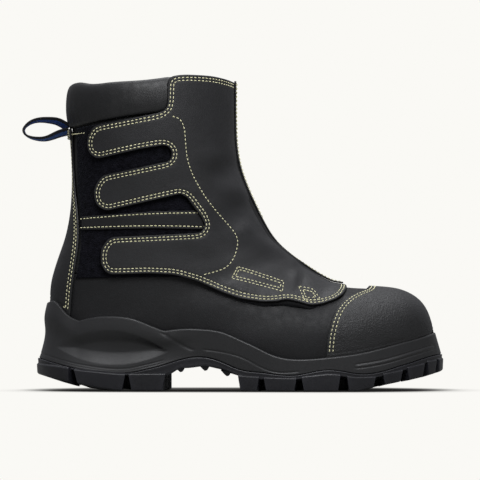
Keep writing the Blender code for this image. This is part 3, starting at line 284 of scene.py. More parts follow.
def locate(points, side, offset=0.0):
    """(angle, turn) of the places that lie at these (x, z) in side view, offset from the surface.
    side is -1 on the outer side of the boot and 1 on the inner side."""
    points = np.array(points, float)
    aim = points.copy()
    for _ in range(5):
        d = aim - PIVOT
        angle = np.degrees(np.arctan2(d[:, 1], d[:, 0])) % 360
        near, far, widest = (section(k, angle) for k in ("near", "far", "widest"))
        share = np.clip((np.hypot(d[:, 0], d[:, 1]) - near) / (far - near), 2e-4, 1 - 2e-4)
        along = np.where(share < widest, 1 - share / widest, (share - widest) / (1 - widest))
        square, c = section("square", angle), along.copy()
        for _ in range(5):
            c -= ((1 + square) * c - square * c**3 - along) / (1 + square - 3 * square * c * c)
        turn = np.arccos(np.clip(c, -1, 1))
        turn = np.where(share < widest, turn, math.pi - turn) * side
        if not offset:
            break
        n = normal(angle, turn)
        aim = points - offset * n[:, [0, 2]]
    return np.stack([angle, turn], axis=1)


# ---------------------------------------------------------------- outlines of the pieces, (x, z, corner radius)
COLLAR_SEAM = [(-126, 203.4), (-106.8, 207.5), (-79.4, 212.3), (-57.6, 215), (-50, 216.5)]
COLLAR_TOP = [(-129, 236), (-120, 239.5), (-112, 238.4), (-96, 239), (-79.6, 240), (-65.8, 241), (-50, 243)]
SHAFT_TOP = 240.0
COLLAR_FROM = 1.28  # turn at which the collar starts, under the flap
VAMP_SEAM = [(-138, 89), (-100, 93), (-60, 94), (-25, 88), (20, 84), (42, 88), (58, 89)]  # under the flap
LIP_LINE = [
    (-143, 67), (-140, 68.5), (-130.7, 60), (-120, 53.2), (-107, 56.2), (-93, 56.8), (-80, 55.3), (-64, 49.4),
    (-53.8, 45.6), (-39.8, 47.2), (-25, 47), (-9.4, 45), (6, 39), (18.3, 33.5), (30.8, 27.5), (40.7, 24.6),
    (53, 23.6), (68, 24.4), (78, 25.4), (100, 28.3), (118, 32.5), (136, 37.3), (151, 41.5), (157.6, 43.8),
]
BOUNDARY_LINE = [
    (-151, 25.5), (-138, 20), (-125, 16.8), (-110, 14.7), (-98, 13.9), (-86, 14.7), (-74, 17.2), (-64, 19.5),
    (-50, 23.5), (-35, 26.5), (-20, 25.5), (-8, 21.5), (4, 17), (23.4, 14.6), (38, 12.9), (50.7, 12.9), (63, 15.2),
    (76.4, 16.9), (88, 15.8), (100, 13.8), (112, 14.2), (121, 16), (130, 18.7), (142, 22.4), (154, 26.5), (162.4, 28.3),
]
PLATE_LINE = [  # underside of the outsole between its lugs
    (-153, 20), (-138, 17.4), (-123, 14.8), (-98, 12.2), (-80, 12.4), (-56, 12.6), (-51, 15), (-47, 17.2),
    (-40, 17.9), (-33, 18.6), (-24.6, 19.3), (-17.5, 18.6), (-8.6, 16.6), (-0.5, 13.4), (8, 10.8), (38, 9.3),
    (50, 9.3), (63, 11.2), (76, 12.6), (88, 11.6), (100, 10), (112, 10.4), (130, 14.6), (142, 18), (154, 22), (164, 24),
]
GROUND_LINE = [
    (-154, 13.5), (-151.6, 12.9), (-139.6, 8.5), (-127.7, 5.5), (-118.8, 3.1), (-103, 0.8), (-95, 0), (100, 0),
    (108.7, 2.1), (117.6, 4.4), (130, 6.9), (136.7, 8), (148, 10.5), (158, 13.4), (162, 14.8), (166, 17),
]
LUG_RANGES = [(6, 19), (26, 48), (55, 82), (90, 109), (118, 130), (137, 147.5), (152.5, 157.5)]
TOE_LUG_FROM, HEEL_LUG_TO = 160.6, -126.5
HEEL_LUG_RANGES = [(-120, -85.3), (-78, -54)]
CENTRE_LUGS = [(14, 36, 16), (44, 66, 20), (74, 96, 20), (104, 122, 17), (130, 143, 10)]  # x from, x to, half width
ARCH_RIBS = [-40, -21, -4]

# Flap, from the ridge round its edge. The two finger roots cut its outline at the ends of the slots.
FLAP_TOP = [(-4.3, 241.5), (-14, 243.5), (-28, 244.5), (-44, 243.8), (-49.4, 239)]
FLAP_LOWER = [(-26.6, 84.8), (-9, 77), (7, 71.5), (24, 69), (34.7, 69.6), (42.7, 71.3), (50.6, 69.7), (61, 67.5),
              (70.5, 70), (80, 73.6), (85.5, 77.5)]
FLAP_TIP = (87.5, 80)
FLAP_DRAWN = 5  # the flap's outlines are drawn in side view on a face this far off the base leather
RIDGE_CLEAR = 7.5  # the flap's rows along the ridge start this far from the boot's middle
RIDGE_GAP = 0.025


def flap_low(angle, turn):
    """Inner face of the flap: it rises over the metatarsal guard, then comes down to the vamp at its tip and along
    its lower edge."""
    at = surface(angle, turn)
    x, above = at[..., 0], at[..., 2] - line_at(FLAP_LOWER, at[..., 0])
    over_guard = 0.9 * smooth_step((x + 8) / 18)
    tip = 4.1 * smooth_step((x - 48) / 34)
    edge = 1.7 * np.exp(-((np.maximum(above, 0) / 9) ** 2)) * smooth_step((x + 20) / 25)
    return np.maximum(FLAP_REST + over_guard - tip - edge, 0.35)


def flap_high(angle, turn):
    return flap_low(angle, turn) + FLAP_THICK


def strip_low(angle, turn):
    return flap_high(angle, turn) + 0.5


def strip_high(angle, turn):
    return strip_low(angle, turn) + 1.1


def line_at(line, x):
    points = np.array(line)
    return np.interp(x, points[:, 0], points[:, 1])


def shaft_points(heights, turns):
    """(angle, turn) at these heights on the shaft."""
    low, high = np.full(np.shape(turns), 155.5), np.full(np.shape(turns), 205.0)
    for _ in range(30):
        middle = (low + high) / 2
        above = surface(middle, turns)[..., 2] > heights
        low, high = np.where(above, middle, low), np.where(above, high, middle)
    return np.stack([low, turns], axis=-1)


def shaft_point(height, turn):
    return shaft_points(np.array([height]), np.array([turn]))[0]


def angle_of(x, z):
    """Angle of the ray through a side-view place."""
    return float(angle_and_radius([(x, z)])[0][0])


# ---------------------------------------------------------------- materials
def nodes_of(name):
    made = bpy.data.materials.new(name)
    made.use_nodes = True
    return made, made.node_tree


def linked(tree, kind, inputs=(), **settings):
    """A shader node with some settings; inputs holds (socket, value or output) pairs."""
    node = tree.nodes.new("ShaderNode" + kind)
    for key, value in settings.items():
        setattr(node, key, value)
    for socket, value in inputs:
        if isinstance(value, bpy.types.NodeSocket):
            tree.links.new(value, node.inputs[socket])
        else:
            node.inputs[socket].default_value = value
    return node


def ranged(tree, value, low, high, to_low=0.0, to_high=1.0, **settings):
    """The value, brought from the range low to high into another range."""
    inputs = [("Value", value), ("From Min", low), ("From Max", high), ("To Min", to_low), ("To Max", to_high)]
    return linked(tree, "MapRange", inputs, **settings).outputs["Result"]


def mixed(tree, factor, a, b):
    inputs = [("Factor", factor), ("A", a), ("B", b)]
    return linked(tree, "Mix", inputs, data_type="RGBA").outputs["Result"]


def noise_of(tree, place, scale, detail, **more):
    inputs = [("Vector", place), ("Scale", scale), ("Detail", detail), *more.items()]
    return linked(tree, "TexNoise", inputs).outputs["Fac"]


def grey(value, blue=1.0):
    return (value, value, value * blue, 1)


BAND_WAYS = {"ribs": "Z", "ribs_x": "X"}
GRAIN = [("noise", 260, 0.12, 3.0), ("cells", 1500, 0.07, 0.9)]
WEAVE = [("ribs_x", 330, 0.25, 0.3), ("cells", 1300, 0.15, 0.4)]


def finish_material(name, colours, rough, bumps, metallic=0.0, sheen=0.0, mottle=35.0, edge_wear_and_highlight=0.0, specular=0.5):
    """A material from two colours that mottle into each other, a range of roughness, and a stack of bumps.
    Each bump is (kind, cells per metre, height in mm, detail or randomness or distortion)."""
    made, tree = nodes_of(name)
    shader = tree.nodes["Principled BSDF"]
    place = linked(tree, "TexCoord").outputs["Object"]
    patches = noise_of(tree, place, mottle, 5.0, Roughness=0.6)
    colour = mixed(tree, ranged(tree, patches, 0.3, 0.7), *colours)
    # Convex edges (high Pointiness) are lightened: partly edge wear, partly a painted highlight on rounded edges that
    # catch the light.
    if edge_wear_and_highlight:
        edge = linked(tree, "NewGeometry").outputs["Pointiness"]
        edge_highlight_colour = tuple(min(1.0, c * 4 + 0.01) for c in colours[1][:3]) + (1,)
        colour = mixed(tree, ranged(tree, edge, 0.52, 0.62, to_high=edge_wear_and_highlight), colour, edge_highlight_colour)
    tree.links.new(colour, shader.inputs["Base Color"])
    fine = noise_of(tree, place, mottle * 7, 3.0)
    tree.links.new(ranged(tree, fine, 0.25, 0.75, *rough), shader.inputs["Roughness"])
    below = None
    for kind, scale, height, detail in bumps:
        inputs = [("Vector", place), ("Scale", scale)]
        if kind == "cells":
            out = linked(tree, "TexVoronoi", inputs + [("Randomness", detail)]).outputs["Distance"]
        elif kind == "noise":
            out = noise_of(tree, place, scale, detail)
        else:
            inputs.append(("Distortion", detail))
            out = linked(tree, "TexWave", inputs, bands_direction=BAND_WAYS[kind]).outputs["Fac"]
        inputs = [("Height", out), ("Distance", height * MM), ("Strength", 1.0)]
        if below is not None:
            inputs.append(("Normal", below))
        below = linked(tree, "Bump", inputs).outputs["Normal"]
    tree.links.new(below, shader.inputs["Normal"])
    shader.inputs["Metallic"].default_value = metallic
    shader.inputs["Specular IOR Level"].default_value = specular
    if sheen:
        shader.inputs["Sheen Weight"].default_value = sheen
        shader.inputs["Sheen Roughness"].default_value = 0.4
        shader.inputs["Sheen Tint"].default_value = (0.7, 0.75, 0.9, 1)
    return made


FINISHES = {
    "oiled_leather": finish_material(
        "oiled_leather_full_grain", (grey(0.0105, 1.04), grey(0.0145, 1.07)), (0.50, 0.66), GRAIN,
        mottle=28, edge_wear_and_highlight=0.3, specular=0.26),
    # Painted light: the flap is the same oiled leather as the rest, with a lighter base colour standing in for the
    # stronger light that falls on it.
    "flap_leather": finish_material(
        "oiled_leather_flap_painted_light", (grey(0.0160, 1.04), grey(0.0220, 1.07)), (0.46, 0.6), GRAIN,
        mottle=28, specular=0.36),
    "collar_leather": finish_material(
        "collar_leather_soft", (grey(0.0055, 1.04), grey(0.008, 1.07)), (0.44, 0.58),
        [("noise", 180, 0.14, 3.0), ("cells", 1300, 0.06, 0.9)], mottle=35, edge_wear_and_highlight=0.3),
    "pebbled_leather": finish_material(
        "pebbled_toe_leather", (grey(0.010, 1.04), grey(0.015, 1.06)), (0.5, 0.62),
        [("cells", 900, 0.32, 1.0), ("noise", 420, 0.16, 2.0)], mottle=60, edge_wear_and_highlight=0.3),
    "loop_pile": finish_material(
        "loop_pile_fuzz", (grey(0.0020, 1.45), grey(0.0085, 1.45)), (0.9, 1.0),
        [("noise", 900, 0.6, 4.0), ("cells", 700, 0.6, 1.0)], mottle=240, sheen=0.04, specular=0.08),
    "hook_tape": finish_material(
        "hook_tape_weave", (grey(0.006, 1.1), grey(0.012, 1.1)), (0.6, 0.8),
        [("cells", 620, 0.5, 0.15), ("ribs", 260, 0.2, 0.0)], mottle=300, specular=0.4),
    "edge_tape": finish_material(
        "folded_edge_leather", (grey(0.006), grey(0.01)), (0.5, 0.62),
        [("cells", 1600, 0.05, 0.9), ("noise", 300, 0.1, 3.0)], mottle=50, edge_wear_and_highlight=0.3),
    "edge_dye": finish_material(
        "dyed_leather_edge", (grey(0.0016, 1.1), grey(0.0034, 1.1)), (0.5, 0.65),
        [("noise", 700, 0.06, 3.0), ("cells", 1600, 0.04, 0.9)], mottle=60, specular=0.22),
    "midsole_rubber": finish_material(
        "midsole_rubber_moulded", (grey(0.0140, 1.04), grey(0.0185, 1.05)), (0.4, 0.5),
        [("noise", 1400, 0.02, 3.0), ("cells", 2600, 0.012, 1.0)], mottle=22, edge_wear_and_highlight=0.3),
    "outsole_rubber": finish_material(
        "outsole_rubber_nitrile", (grey(0.0050, 1.35), grey(0.0085, 1.35)), (0.34, 0.5),
        [("noise", 900, 0.05, 3.0), ("noise", 120, 0.12, 2.0)], mottle=40, edge_wear_and_highlight=0.45),
    "spacer_fabric": finish_material(
        "spacer_mesh_lining", (grey(0.014, 1.1), grey(0.03, 1.1)), (0.8, 0.95),
        [("cells", 480, 0.6, 0.25), ("noise", 1500, 0.1, 2.0)], mottle=400, sheen=0.3, specular=0.3),
    "padding_foam": finish_material(
        "open_cell_foam", (grey(0.3, 0.92), grey(0.36, 0.9)), (0.9, 1.0), [("cells", 900, 0.4, 1.0)], mottle=300),
    "bright_steel": finish_material(
        "pressed_steel", (grey(0.5), grey(0.58)), (0.28, 0.4), [("noise", 900, 0.02, 3.0)], metallic=1.0, mottle=60),
    "guard_plastic": finish_material(
        "moulded_guard", (grey(0.014), grey(0.019)), (0.4, 0.5), [("noise", 1600, 0.03, 2.0)], mottle=50, edge_wear_and_highlight=0.2),
    "felt_padding": finish_material(
        "needled_felt", (grey(0.003, 1.1), grey(0.007, 1.1)), (0.9, 1.0),
        [("noise", 1100, 0.4, 5.0), ("noise", 300, 0.4, 3.0)], mottle=300, sheen=0.15, specular=0.2),
    "fibre_board": finish_material(
        "woven_fibre_board", ((0.30, 0.24, 0.14, 1), (0.38, 0.31, 0.19, 1)), (0.75, 0.9),
        [("ribs", 160, 0.2, 0.3), ("ribs_x", 160, 0.2, 0.3)], mottle=200),
    "footbed_foam": finish_material(
        "footbed_cover", ((0.012, 0.014, 0.022, 1), (0.02, 0.024, 0.036, 1)), (0.8, 0.95),
        [("cells", 520, 0.4, 0.2), ("noise", 1400, 0.1, 2.0)], mottle=350, sheen=0.2, specular=0.3),
    "webbing_black": finish_material(
        "webbing_black", (grey(0.004, 1.1), grey(0.009, 1.1)), (0.65, 0.8), WEAVE,
        mottle=500, sheen=0.1, specular=0.35),
    # The blue stripe is real, but its colour is raised as painted light, standing in for light on the loop's underside,
    # which faces away from the lamps.
    "webbing_blue_painted_bright": finish_material(
        "webbing_blue_painted_bright", ((0.016, 0.085, 0.34, 1), (0.026, 0.125, 0.46, 1)), (0.6, 0.75), WEAVE,
        mottle=500, sheen=0.1, specular=0.4),
    "thread": finish_material(
        "thread_pale_yellow", ((0.72, 0.69, 0.40, 1), (0.86, 0.83, 0.54, 1)), (0.6, 0.8),
        [("noise", 2600, 0.12, 3.0)], mottle=700, sheen=0.2, specular=0.4),
}


# ---------------------------------------------------------------- meshes
def new_object(name, points, faces, *finishes):
    """A smooth-shaded object in metres from points in mm."""
    mesh = bpy.data.meshes.new(name)
    mesh.from_pydata((np.array(points) * MM).tolist(), [], faces)
    mesh.polygons.foreach_set("use_smooth", [True] * len(faces))
    made = bpy.data.objects.new(name, mesh)
    bpy.context.scene.collection.objects.link(made)
    for each in finishes:
        mesh.materials.append(FINISHES[each])
    return made


def outward(made):
    """Turns the faces of a closed mesh outwards."""
    edited = bmesh.new()
    edited.from_mesh(made.data)
    bmesh.ops.recalc_face_normals(edited, faces=edited.faces)
    edited.to_mesh(made.data)
    edited.free()
    return made


def along_line(line, step):
    """Points along an (angle, turn) line, the same length apart on the boot."""
    line = np.array(line, float)
    run = run_along(surface(*line.T))
    return at_run(line, run, np.linspace(0, run[-1], max(2, round(run[-1] / step) + 1)))


def dense(line, step=1.0):
    """Adds points to an (angle, turn) line between its own."""
    out = [line[:1]]
    for a, b in zip(line[:-1], line[1:]):
        gap = np.linalg.norm(surface(*b) - surface(*a))
        parts = max(1, math.ceil(gap / step))
        out.append(a + (b - a) * np.arange(1, parts + 1)[:, None] / parts)
    return np.vstack(out)


def ring_of(outline, step):
    """The closed outline with points step apart on the boot."""
    return along_line(np.vstack([outline, outline[:1]]), step)[:-1]


SPREAD = np.array([4.2, 45.0])  # about how many mm a degree and a radian span


def moved_in(ring, distance, closed=True):
    """An (angle, turn) line moved sideways on the boot by this many mm, to the inside of a closed one."""
    at = surface(*ring.T)
    if closed:
        ahead = sum(np.roll(at, -k, axis=0) - np.roll(at, k, axis=0) for k in (1, 2))
        flat = ring * SPREAD
        area = np.sum(flat[:, 0] * np.roll(flat[:, 1], -1) - flat[:, 1] * np.roll(flat[:, 0], -1))
        side = 1 if area > 0 else -1
    else:
        ahead, side = np.gradient(at, axis=0), 1
    inward = np.cross(normal(*ring.T), unit(ahead)) * side
    da, dt = slopes(*ring.T)
    a, b, c = (da * da).sum(1), (da * dt).sum(1), (dt * dt).sum(1)
    p, q = (da * inward).sum(1), (dt * inward).sum(1)
    det = np.maximum(a * c - b * b, 1e-2 * a)
    move = np.stack([(c * p - b * q) / det, (a * q - b * p) / det], axis=1)
    return ring + move * np.reshape(distance, (-1, 1))


def tree_of(points):
    """A search tree of points, for nearest."""
    found = KDTree(len(points))
    for i, p in enumerate(points):
        found.insert(p, i)
    found.balance()
    return found


def nearest(tree, points):
    """Distance from each point to the tree's nearest one."""
    return np.array([tree.find(p)[2] for p in points])


def inside(points, polygon):
    """Which flat points lie inside the polygon."""
    x, y = points[:, 0][:, None], points[:, 1][:, None]
    x0, y0 = polygon[:, 0], polygon[:, 1]
    x1, y1 = np.roll(x0, -1), np.roll(y0, -1)
    crosses = (y0 > y) != (y1 > y)
    at = x0 + (y - y0) / np.where(y1 == y0, 1e-9, y1 - y0) * (x1 - x0)
    return (crosses & (x < at)).sum(axis=1) % 2 == 1


def waves(points, size, seed=0.0):
    """Smooth noise from -1 to 1 at each point, with bumps of about this size in mm."""
    shift = Vector((seed, seed * 1.7, -seed))
    return np.array([noise.noise(Vector(p) / size + shift) for p in points])


def leather_relief(points, seed):
    """Slight hollows and swells of worn leather, stronger where the boot bends at the ankle."""
    bend = np.exp(-(((points[:, 0] + 2) / 42) ** 2) - ((points[:, 2] - 130) / 46) ** 2)
    stretched = points * [1.0, 1.0, 1.5]
    soft = waves(points, 38.0, seed) * 0.4 + waves(points, 15.0, seed + 3) * 0.14
    return soft + bend * (waves(stretched, 19.0, seed + 7) * 0.95 + waves(stretched, 11.0, seed + 9) * 0.3)


def no_relief(points, seed):
    return np.zeros(len(points))


def away(reach):
    """Share of its relief that a panel has at this distance from its edge."""
    return smooth_step(np.asarray(reach) / 6 + 0.25)


RING_STEPS = (0.18, 0.45, 0.8, 1.3, 1.8, 2.2, 2.7, 3.3, 3.9, 4.4, 4.9, 5.6, 6.8)
ROWS_AT = (2.1, 4.3)  # distances of the two rows of a double seam from the edge
GROOVE_HALF = 0.62  # mm, of the hollow that a sewn row pulls into the leather
GRID_ROW = 0.87  # rows of an even triangle grid lie this share of its spacing apart


def lifted(params, high, relief, seed, reach):
    """Places and directions on top of a panel, as far from its edge as reach says."""
    at, out = surface(*params.T), normal(*params.T)
    level = high(params[:, 0], params[:, 1]) if callable(high) else np.full(len(params), float(high))
    level = level + relief(at, seed) * away(reach)
    return at + out * level[:, None], out


def meshed(ring, steps, cell, extra=()):
    """(angle, turn) points and triangles over the inside of the ring, with rows of points along its edge."""
    edge = tree_of(surface(*dense(np.vstack([ring, ring[:1]]), 0.6).T))
    flat = ring * SPREAD
    kept = []
    for d in steps:
        line = moved_in(ring, d)
        ok = inside(line * SPREAD, flat) & (nearest(edge, surface(*line.T)) > 0.86 * d)
        kept.append(line[ok])
    (first, least), (last, most) = ring.min(axis=0), ring.max(axis=0)
    grid = []
    for j, turn in enumerate(np.arange(least + 0.003, most, cell * GRID_ROW / SPREAD[1])):
        row = along_line(np.stack([np.linspace(first, last, 200), np.full(200, turn)], axis=1), cell)
        grid.append((row[:-1] + row[1:]) / 2 if j % 2 else row)
    grid = np.vstack(grid)
    grid = grid[inside(grid * SPREAD, flat)]
    if len(grid):
        grid = grid[nearest(edge, surface(*grid.T)) > (steps[-1] if steps else 0) + cell * 0.45]
    if len(extra) and len(grid):
        lines = tree_of(surface(*np.vstack(extra).T))
        grid = grid[nearest(lines, surface(*grid.T)) > 1.0]
        kept = [k[nearest(lines, surface(*k.T)) > 0.35] if len(k) else k for k in kept]
    cuts, edges, count = [], [], len(ring)
    for line in extra:
        cuts.append(line)
        edges += [(count + i, count + i + 1) for i in range(len(line) - 1)]
        count += len(line)
    params = np.vstack([ring] + cuts + kept + [grid])
    found = delaunay_2d_cdt([tuple(p) for p in params * SPREAD], edges, [list(range(len(ring)))], 1, 1e-6)
    params = np.array([tuple(v) for v in found[0]]) / SPREAD
    reach = nearest(edge, surface(*params.T))
    reach[: len(ring)] = 0.0
    return params, [list(f) for f in found[2]], reach


def relaxed(points, faces):
    """The same triangles with their edges turned so that they follow the surface in space."""
    edited = bmesh.new()
    vertices = [edited.verts.new(p) for p in points]
    for f in faces:
        edited.faces.new([vertices[i] for i in f])
    inner = [e for e in edited.edges if len(e.link_faces) == 2]
    bmesh.ops.beautify_fill(edited, faces=edited.faces[:], edges=inner, method="AREA")
    edited.verts.index_update()
    turned = [[v.index for v in f.verts] for f in edited.faces]
    edited.free()
    return turned


def panel(name, outline, low, high, finish, nodes=(), body="boot", slot=None, radius=0.9, rows=ROWS_AT, groove=0.28,
          cell=4.0, step=1.8, relief=leather_relief, seed=0.0, steps=RING_STEPS, pile=0.0, cuts=(), part_of=None,
          parts=(), dyed=None):
    """A closed sheet on the boot between two offsets, from its (angle, turn) outline, with a rounded outer edge and
    a shallow groove along each sewn row. It stands for nodes; the slot argument is not used.
    dyed(params, reach) says where the black edge dye lies. With cuts the sheet parts along these lines into the pieces
    in parts, each (name, body, nodes), and part_of says which piece a place belongs to."""
    slot = slot or finish
    ring = ring_of(np.array(outline), step)
    params, faces, reach = meshed(ring, steps, cell, cuts)
    at, out = surface(*params.T), normal(*params.T)
    faces = relaxed(at, faces) if not len(cuts) else faces
    sink = radius - np.sqrt(np.maximum(radius**2 - np.maximum(radius - reach, 0) ** 2, 0))
    for row in rows:
        sink += groove * np.exp(-(((reach - row) / GROOVE_HALF) ** 2))
    swell = relief(at, seed) * away(reach)
    if pile:
        swell = swell + pile * (waves(at, 1.3, 5.0) + 0.7 * waves(at, 0.6, 9.0)) * smooth_step(reach)
    level = [f(params[:, 0], params[:, 1]) if callable(f) else np.full(len(params), float(f)) for f in (low, high)]
    under = at + out * level[0][:, None]
    over = at + out * np.maximum(level[1] + swell - sink, level[0] + 0.25)[:, None]
    points, count = np.vstack([over, under]), len(params)
    black = dyed(params, reach) if dyed else None
    if not part_of:
        return sheet_object(name, points, faces, count, finish, body, nodes, black=black)
    groups = [[] for _ in parts]
    for f in faces:
        middle = at[f].mean(axis=0)
        groups[part_of(middle[0], middle[2])].append(f)
    return [sheet_object(each, points, group, count, finish, rides, stands, whole_normals(points, faces, count),
                         black)
            for group, (each, rides, stands) in zip(groups, parts)]


def whole_normals(points, faces, count):
    """Smooth directions at the top points of a sheet before it is parted."""
    made = np.zeros((count, 3))
    corners = np.array(faces)
    a, b, c = (points[corners[:, k]] for k in range(3))
    across = np.cross(b - a, c - a)
    lean = (points[:count] - points[count:])[corners].mean(axis=1)
    across *= np.sign((across * lean).sum(axis=1))[:, None]
    for k in range(3):
        np.add.at(made, corners[:, k], across)
    return unit(made)


def sheet_object(name, points, faces, count, finish, body, nodes, normals=None, black=None):
    """The closed object over these top faces; points holds the top points, then those under them."""
    edges = {}
    for f in faces:
        for i in range(len(f)):
            edge = (f[i], f[(i + 1) % len(f)])
            key = frozenset(edge)
            edges[key] = None if key in edges else edge
    whole = [list(f) for f in faces] + [[i + count for i in reversed(f)] for f in faces]
    whole += [[b, a, a + count, b + count] for a, b in (e for e in edges.values() if e)]
    used = sorted({i for f in whole for i in f})
    number = {old: new for new, old in enumerate(used)}
    whole = [[number[i] for i in f] for f in whole]
    made = outward(new_object(name, points[used], whole, finish))
    if black is not None:  # the cut edge and the underside are dyed
        made.data.materials.append(FINISHES["edge_dye"])
        for i, polygon in enumerate(made.data.polygons):
            polygon.material_index = int(i >= len(faces) or black[faces[i]].all())
    if normals is not None:
        mesh = made.data
        shown = np.array([loop.normal[:] for loop in mesh.loops])
        for polygon in mesh.polygons[: len(faces)]:
            for i in polygon.loop_indices:
                shown[i] = normals[used[mesh.loops[i].vertex_index]]
        mesh.normals_split_custom_set(shown.tolist())
    attach(made, body, nodes)
    return made


# Pieces meant to bend with a joint: the bodies at their fixed and free ends, and where in the CAD the bend starts and
# ends. Here their transform is only baked in; the rest of the table is not read.
BENDS = {
    "flap_leather": ("boot", "flap", (0, -0.001, 0.16), (0, -0.024, 0.16)),
    "finger_upper": ("flap", "finger_upper", (-0.0500, -0.057, 0.2), (-0.064, -0.057, 0.2)),
    "finger_middle": ("flap", "finger_middle", (-0.0405, -0.052, 0.165), (-0.0610, -0.052, 0.1596)),
    "finger_lower": ("flap", "finger_lower", (-0.0265, -0.0455, 0.104), (-0.042, -0.0455, 0.104)),
    "pull_loop": ("boot", "pull_loop", (-0.1285, -0.001, 0.2029), (-0.1335, -0.001, 0.2029)),
}


def attach(made, body, nodes=()):
    """Parents the piece to the body it rides on, or bakes in its transform if it is one of the bending pieces, and
    hides the CAD nodes it stands for.
    """
    if body in BENDS:
        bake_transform(made)
    else:
        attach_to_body(made, body)
    if nodes:
        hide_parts(*nodes)


# ---------------------------------------------------------------- thread
THREAD_PITCH, STITCH_LONG, STITCH_WIDE = 3.1, 2.35, 0.76


def calm(line, rounds=6):
    """The line with its small kinks averaged away."""
    line = np.array(line, float)
    for _ in range(rounds):
        line[1:-1] = (line[:-2] + 2 * line[1:-1] + line[2:]) / 4
    return line


def stitch_mesh(name, places, body="boot"):
    """One mesh of bent capsules. Each place is (middle, along, out) with unit directions."""
    points, faces = [], []
    sides, stations = 6, (-1.0, -0.72, 0.0, 0.72, 1.0)
    for middle, along, out in places:
        across = np.cross(along, out)
        base = len(points)
        for s in stations:
            centre = middle + along * (s * STITCH_LONG / 2) + out * (0.22 - 0.62 * s * s)
            size = STITCH_WIDE / 2 * (0.35 if abs(s) == 1 else 0.9 if s else 1.0)
            for k in range(sides):
                angle = FULL_TURN * k / sides
                points.append(centre + across * (size * math.cos(angle)) + out * (size * 0.8 * math.sin(angle)))
        for r in range(len(stations) - 1):
            for k in range(sides):
                a, b = base + r * sides + k, base + r * sides + (k + 1) % sides
                faces.append([a, b, b + sides, a + sides])
        faces.append([base + k for k in reversed(range(sides))])
        faces.append([base + (len(stations) - 1) * sides + k for k in range(sides)])
    attach(outward(new_object(name, points, faces, "thread")), body)


def stitches_along(params, high, relief=no_relief, seed=0.0, reach=3.0, sink=0.2, pitch=THREAD_PITCH):
    """Stitch places along an (angle, turn) line on top of a panel."""
    line = along_line(dense(np.array(params), 1.0), pitch)
    if len(line) < 2:
        return []
    fine, out = lifted(line, high, relief, seed, np.full(len(line), reach))
    places = []
    for i in range(len(line) - 1):
        along = fine[i + 1] - fine[i]
        size = np.linalg.norm(along)
        if size < 0.6 * pitch or size > 1.6 * pitch:
            continue
        along /= size
        n = out[i] + out[i + 1]
        n = unit(n - along * (n @ along))
        places.append(((fine[i] + fine[i + 1]) / 2 - n * sink, along, n))
    return places


def seam_rows(outline, distances, high, relief=no_relief, seed=0.0, keep=None, sink=0.2):
    """Stitch places along rows inside an outline. keep(points in mm) picks the stretches that are sewn."""
    ring = ring_of(np.array(outline), 1.0)
    edge = tree_of(surface(*dense(np.vstack([ring, ring[:1]]), 0.6).T))
    places = []
    for d in distances:
        line = moved_in(ring, d)
        at = surface(*line.T)
        ok = inside(line * SPREAD, ring * SPREAD) & (nearest(edge, at) > 0.9 * d)
        if keep is not None:
            ok &= keep(at)
        start = int(np.argmin(ok)) if not ok.all() else 0
        order = [(start + i) % len(line) for i in range(len(line) + (1 if ok.all() else 0))]
        run = []
        for i in order + [None]:
            if i is not None and ok[i] and (not run or np.linalg.norm(at[i] - at[run[-1]]) < 6):
                run.append(i)
                continue
            if len(run) > 4:
                places += stitches_along(calm(line[run]), high, relief, seed, d, sink)
            run = [i] if i is not None and ok[i] else []
    return places


# ---------------------------------------------------------------- outlines shared by the upper
TOE_ANGLE, INNER_TOE_ANGLE = 243.8, 242.2
SEAM_SLIT = 0.008
HEEL_CUP = [(-58, 43.5), (-75, 47), (-100, 49.5), (-125, 51.5), (-136, 52.5), (-140, 53)]


def subdivided(outline, step, closed=True):
    out = []
    last = len(outline) if closed else len(outline) - 1
    for i in range(last):
        a, b = np.array(outline[i][:2], float), np.array(outline[(i + 1) % len(outline)][:2], float)
        parts = max(1, math.ceil(np.linalg.norm(b - a) / step - 0.3))
        out += [a + (b - a) * k / parts for k in range(parts)]
    if not closed:
        out.append(np.array(outline[-1][:2], float))
    return np.array(out)


def traced(line, step, side, offset=0.0):
    """(angle, turn) points, step apart, along a line drawn in side view."""
    return locate(subdivided(line, step, closed=False), side, offset)


def side_outline(corners, side, offset, cell=2.5, arc_step=0.3, closed=True):
    """(angle, turn) points of an outline drawn in side view with corners (x, z, radius)."""
    corners = list(corners)
    if closed:
        corners = corners + [corners[0][:2]]
    line = filleted(corners, arc_step)
    if closed:
        line = line[:-1]
    return locate(subdivided(line, cell, closed), side, offset)


def mirrored(outline):
    """The same outline on the other side of the boot, run backwards."""
    return np.array(outline)[::-1] * [1, -1]


def turn_line(angle_from, angle_to, turn, cell=3.0):
    """Points of (angle, turn) from one angle to another at the same turn."""
    angles = np.linspace(angle_from, angle_to, 300)
    run = run_along(surface(angles, turn))
    angles = np.interp(np.linspace(0, run[-1], max(2, math.ceil(run[-1] / cell) + 1)), run, angles)
    return np.stack([angles, np.full(len(angles), float(turn))], axis=1)


def joined(*runs):
    """One outline from runs of points, without the points that repeat."""
    points = np.vstack(runs)
    step = np.abs((points - np.roll(points, 1, axis=0)) * SPREAD).max(axis=1)
    return points[step > 0.3]


def smooth_line(points, samples=10):
    return spline_through(points, samples)


def toe_row(angle):
    turns = np.linspace(-BACK, BACK, 15)[1:-1]
    return np.stack([np.full(len(turns), angle), turns], axis=1)


def heel_run(first_x):
    line = [p for p in subdivided(HEEL_CUP, 4, closed=False) if p[0] <= first_x]
    return locate(line[:-1], 1)


def feather_run(toe_angle, turn):
    return np.vstack([turn_line(toe_angle, angle_of(-50, 39.4), turn), heel_run(-50)])


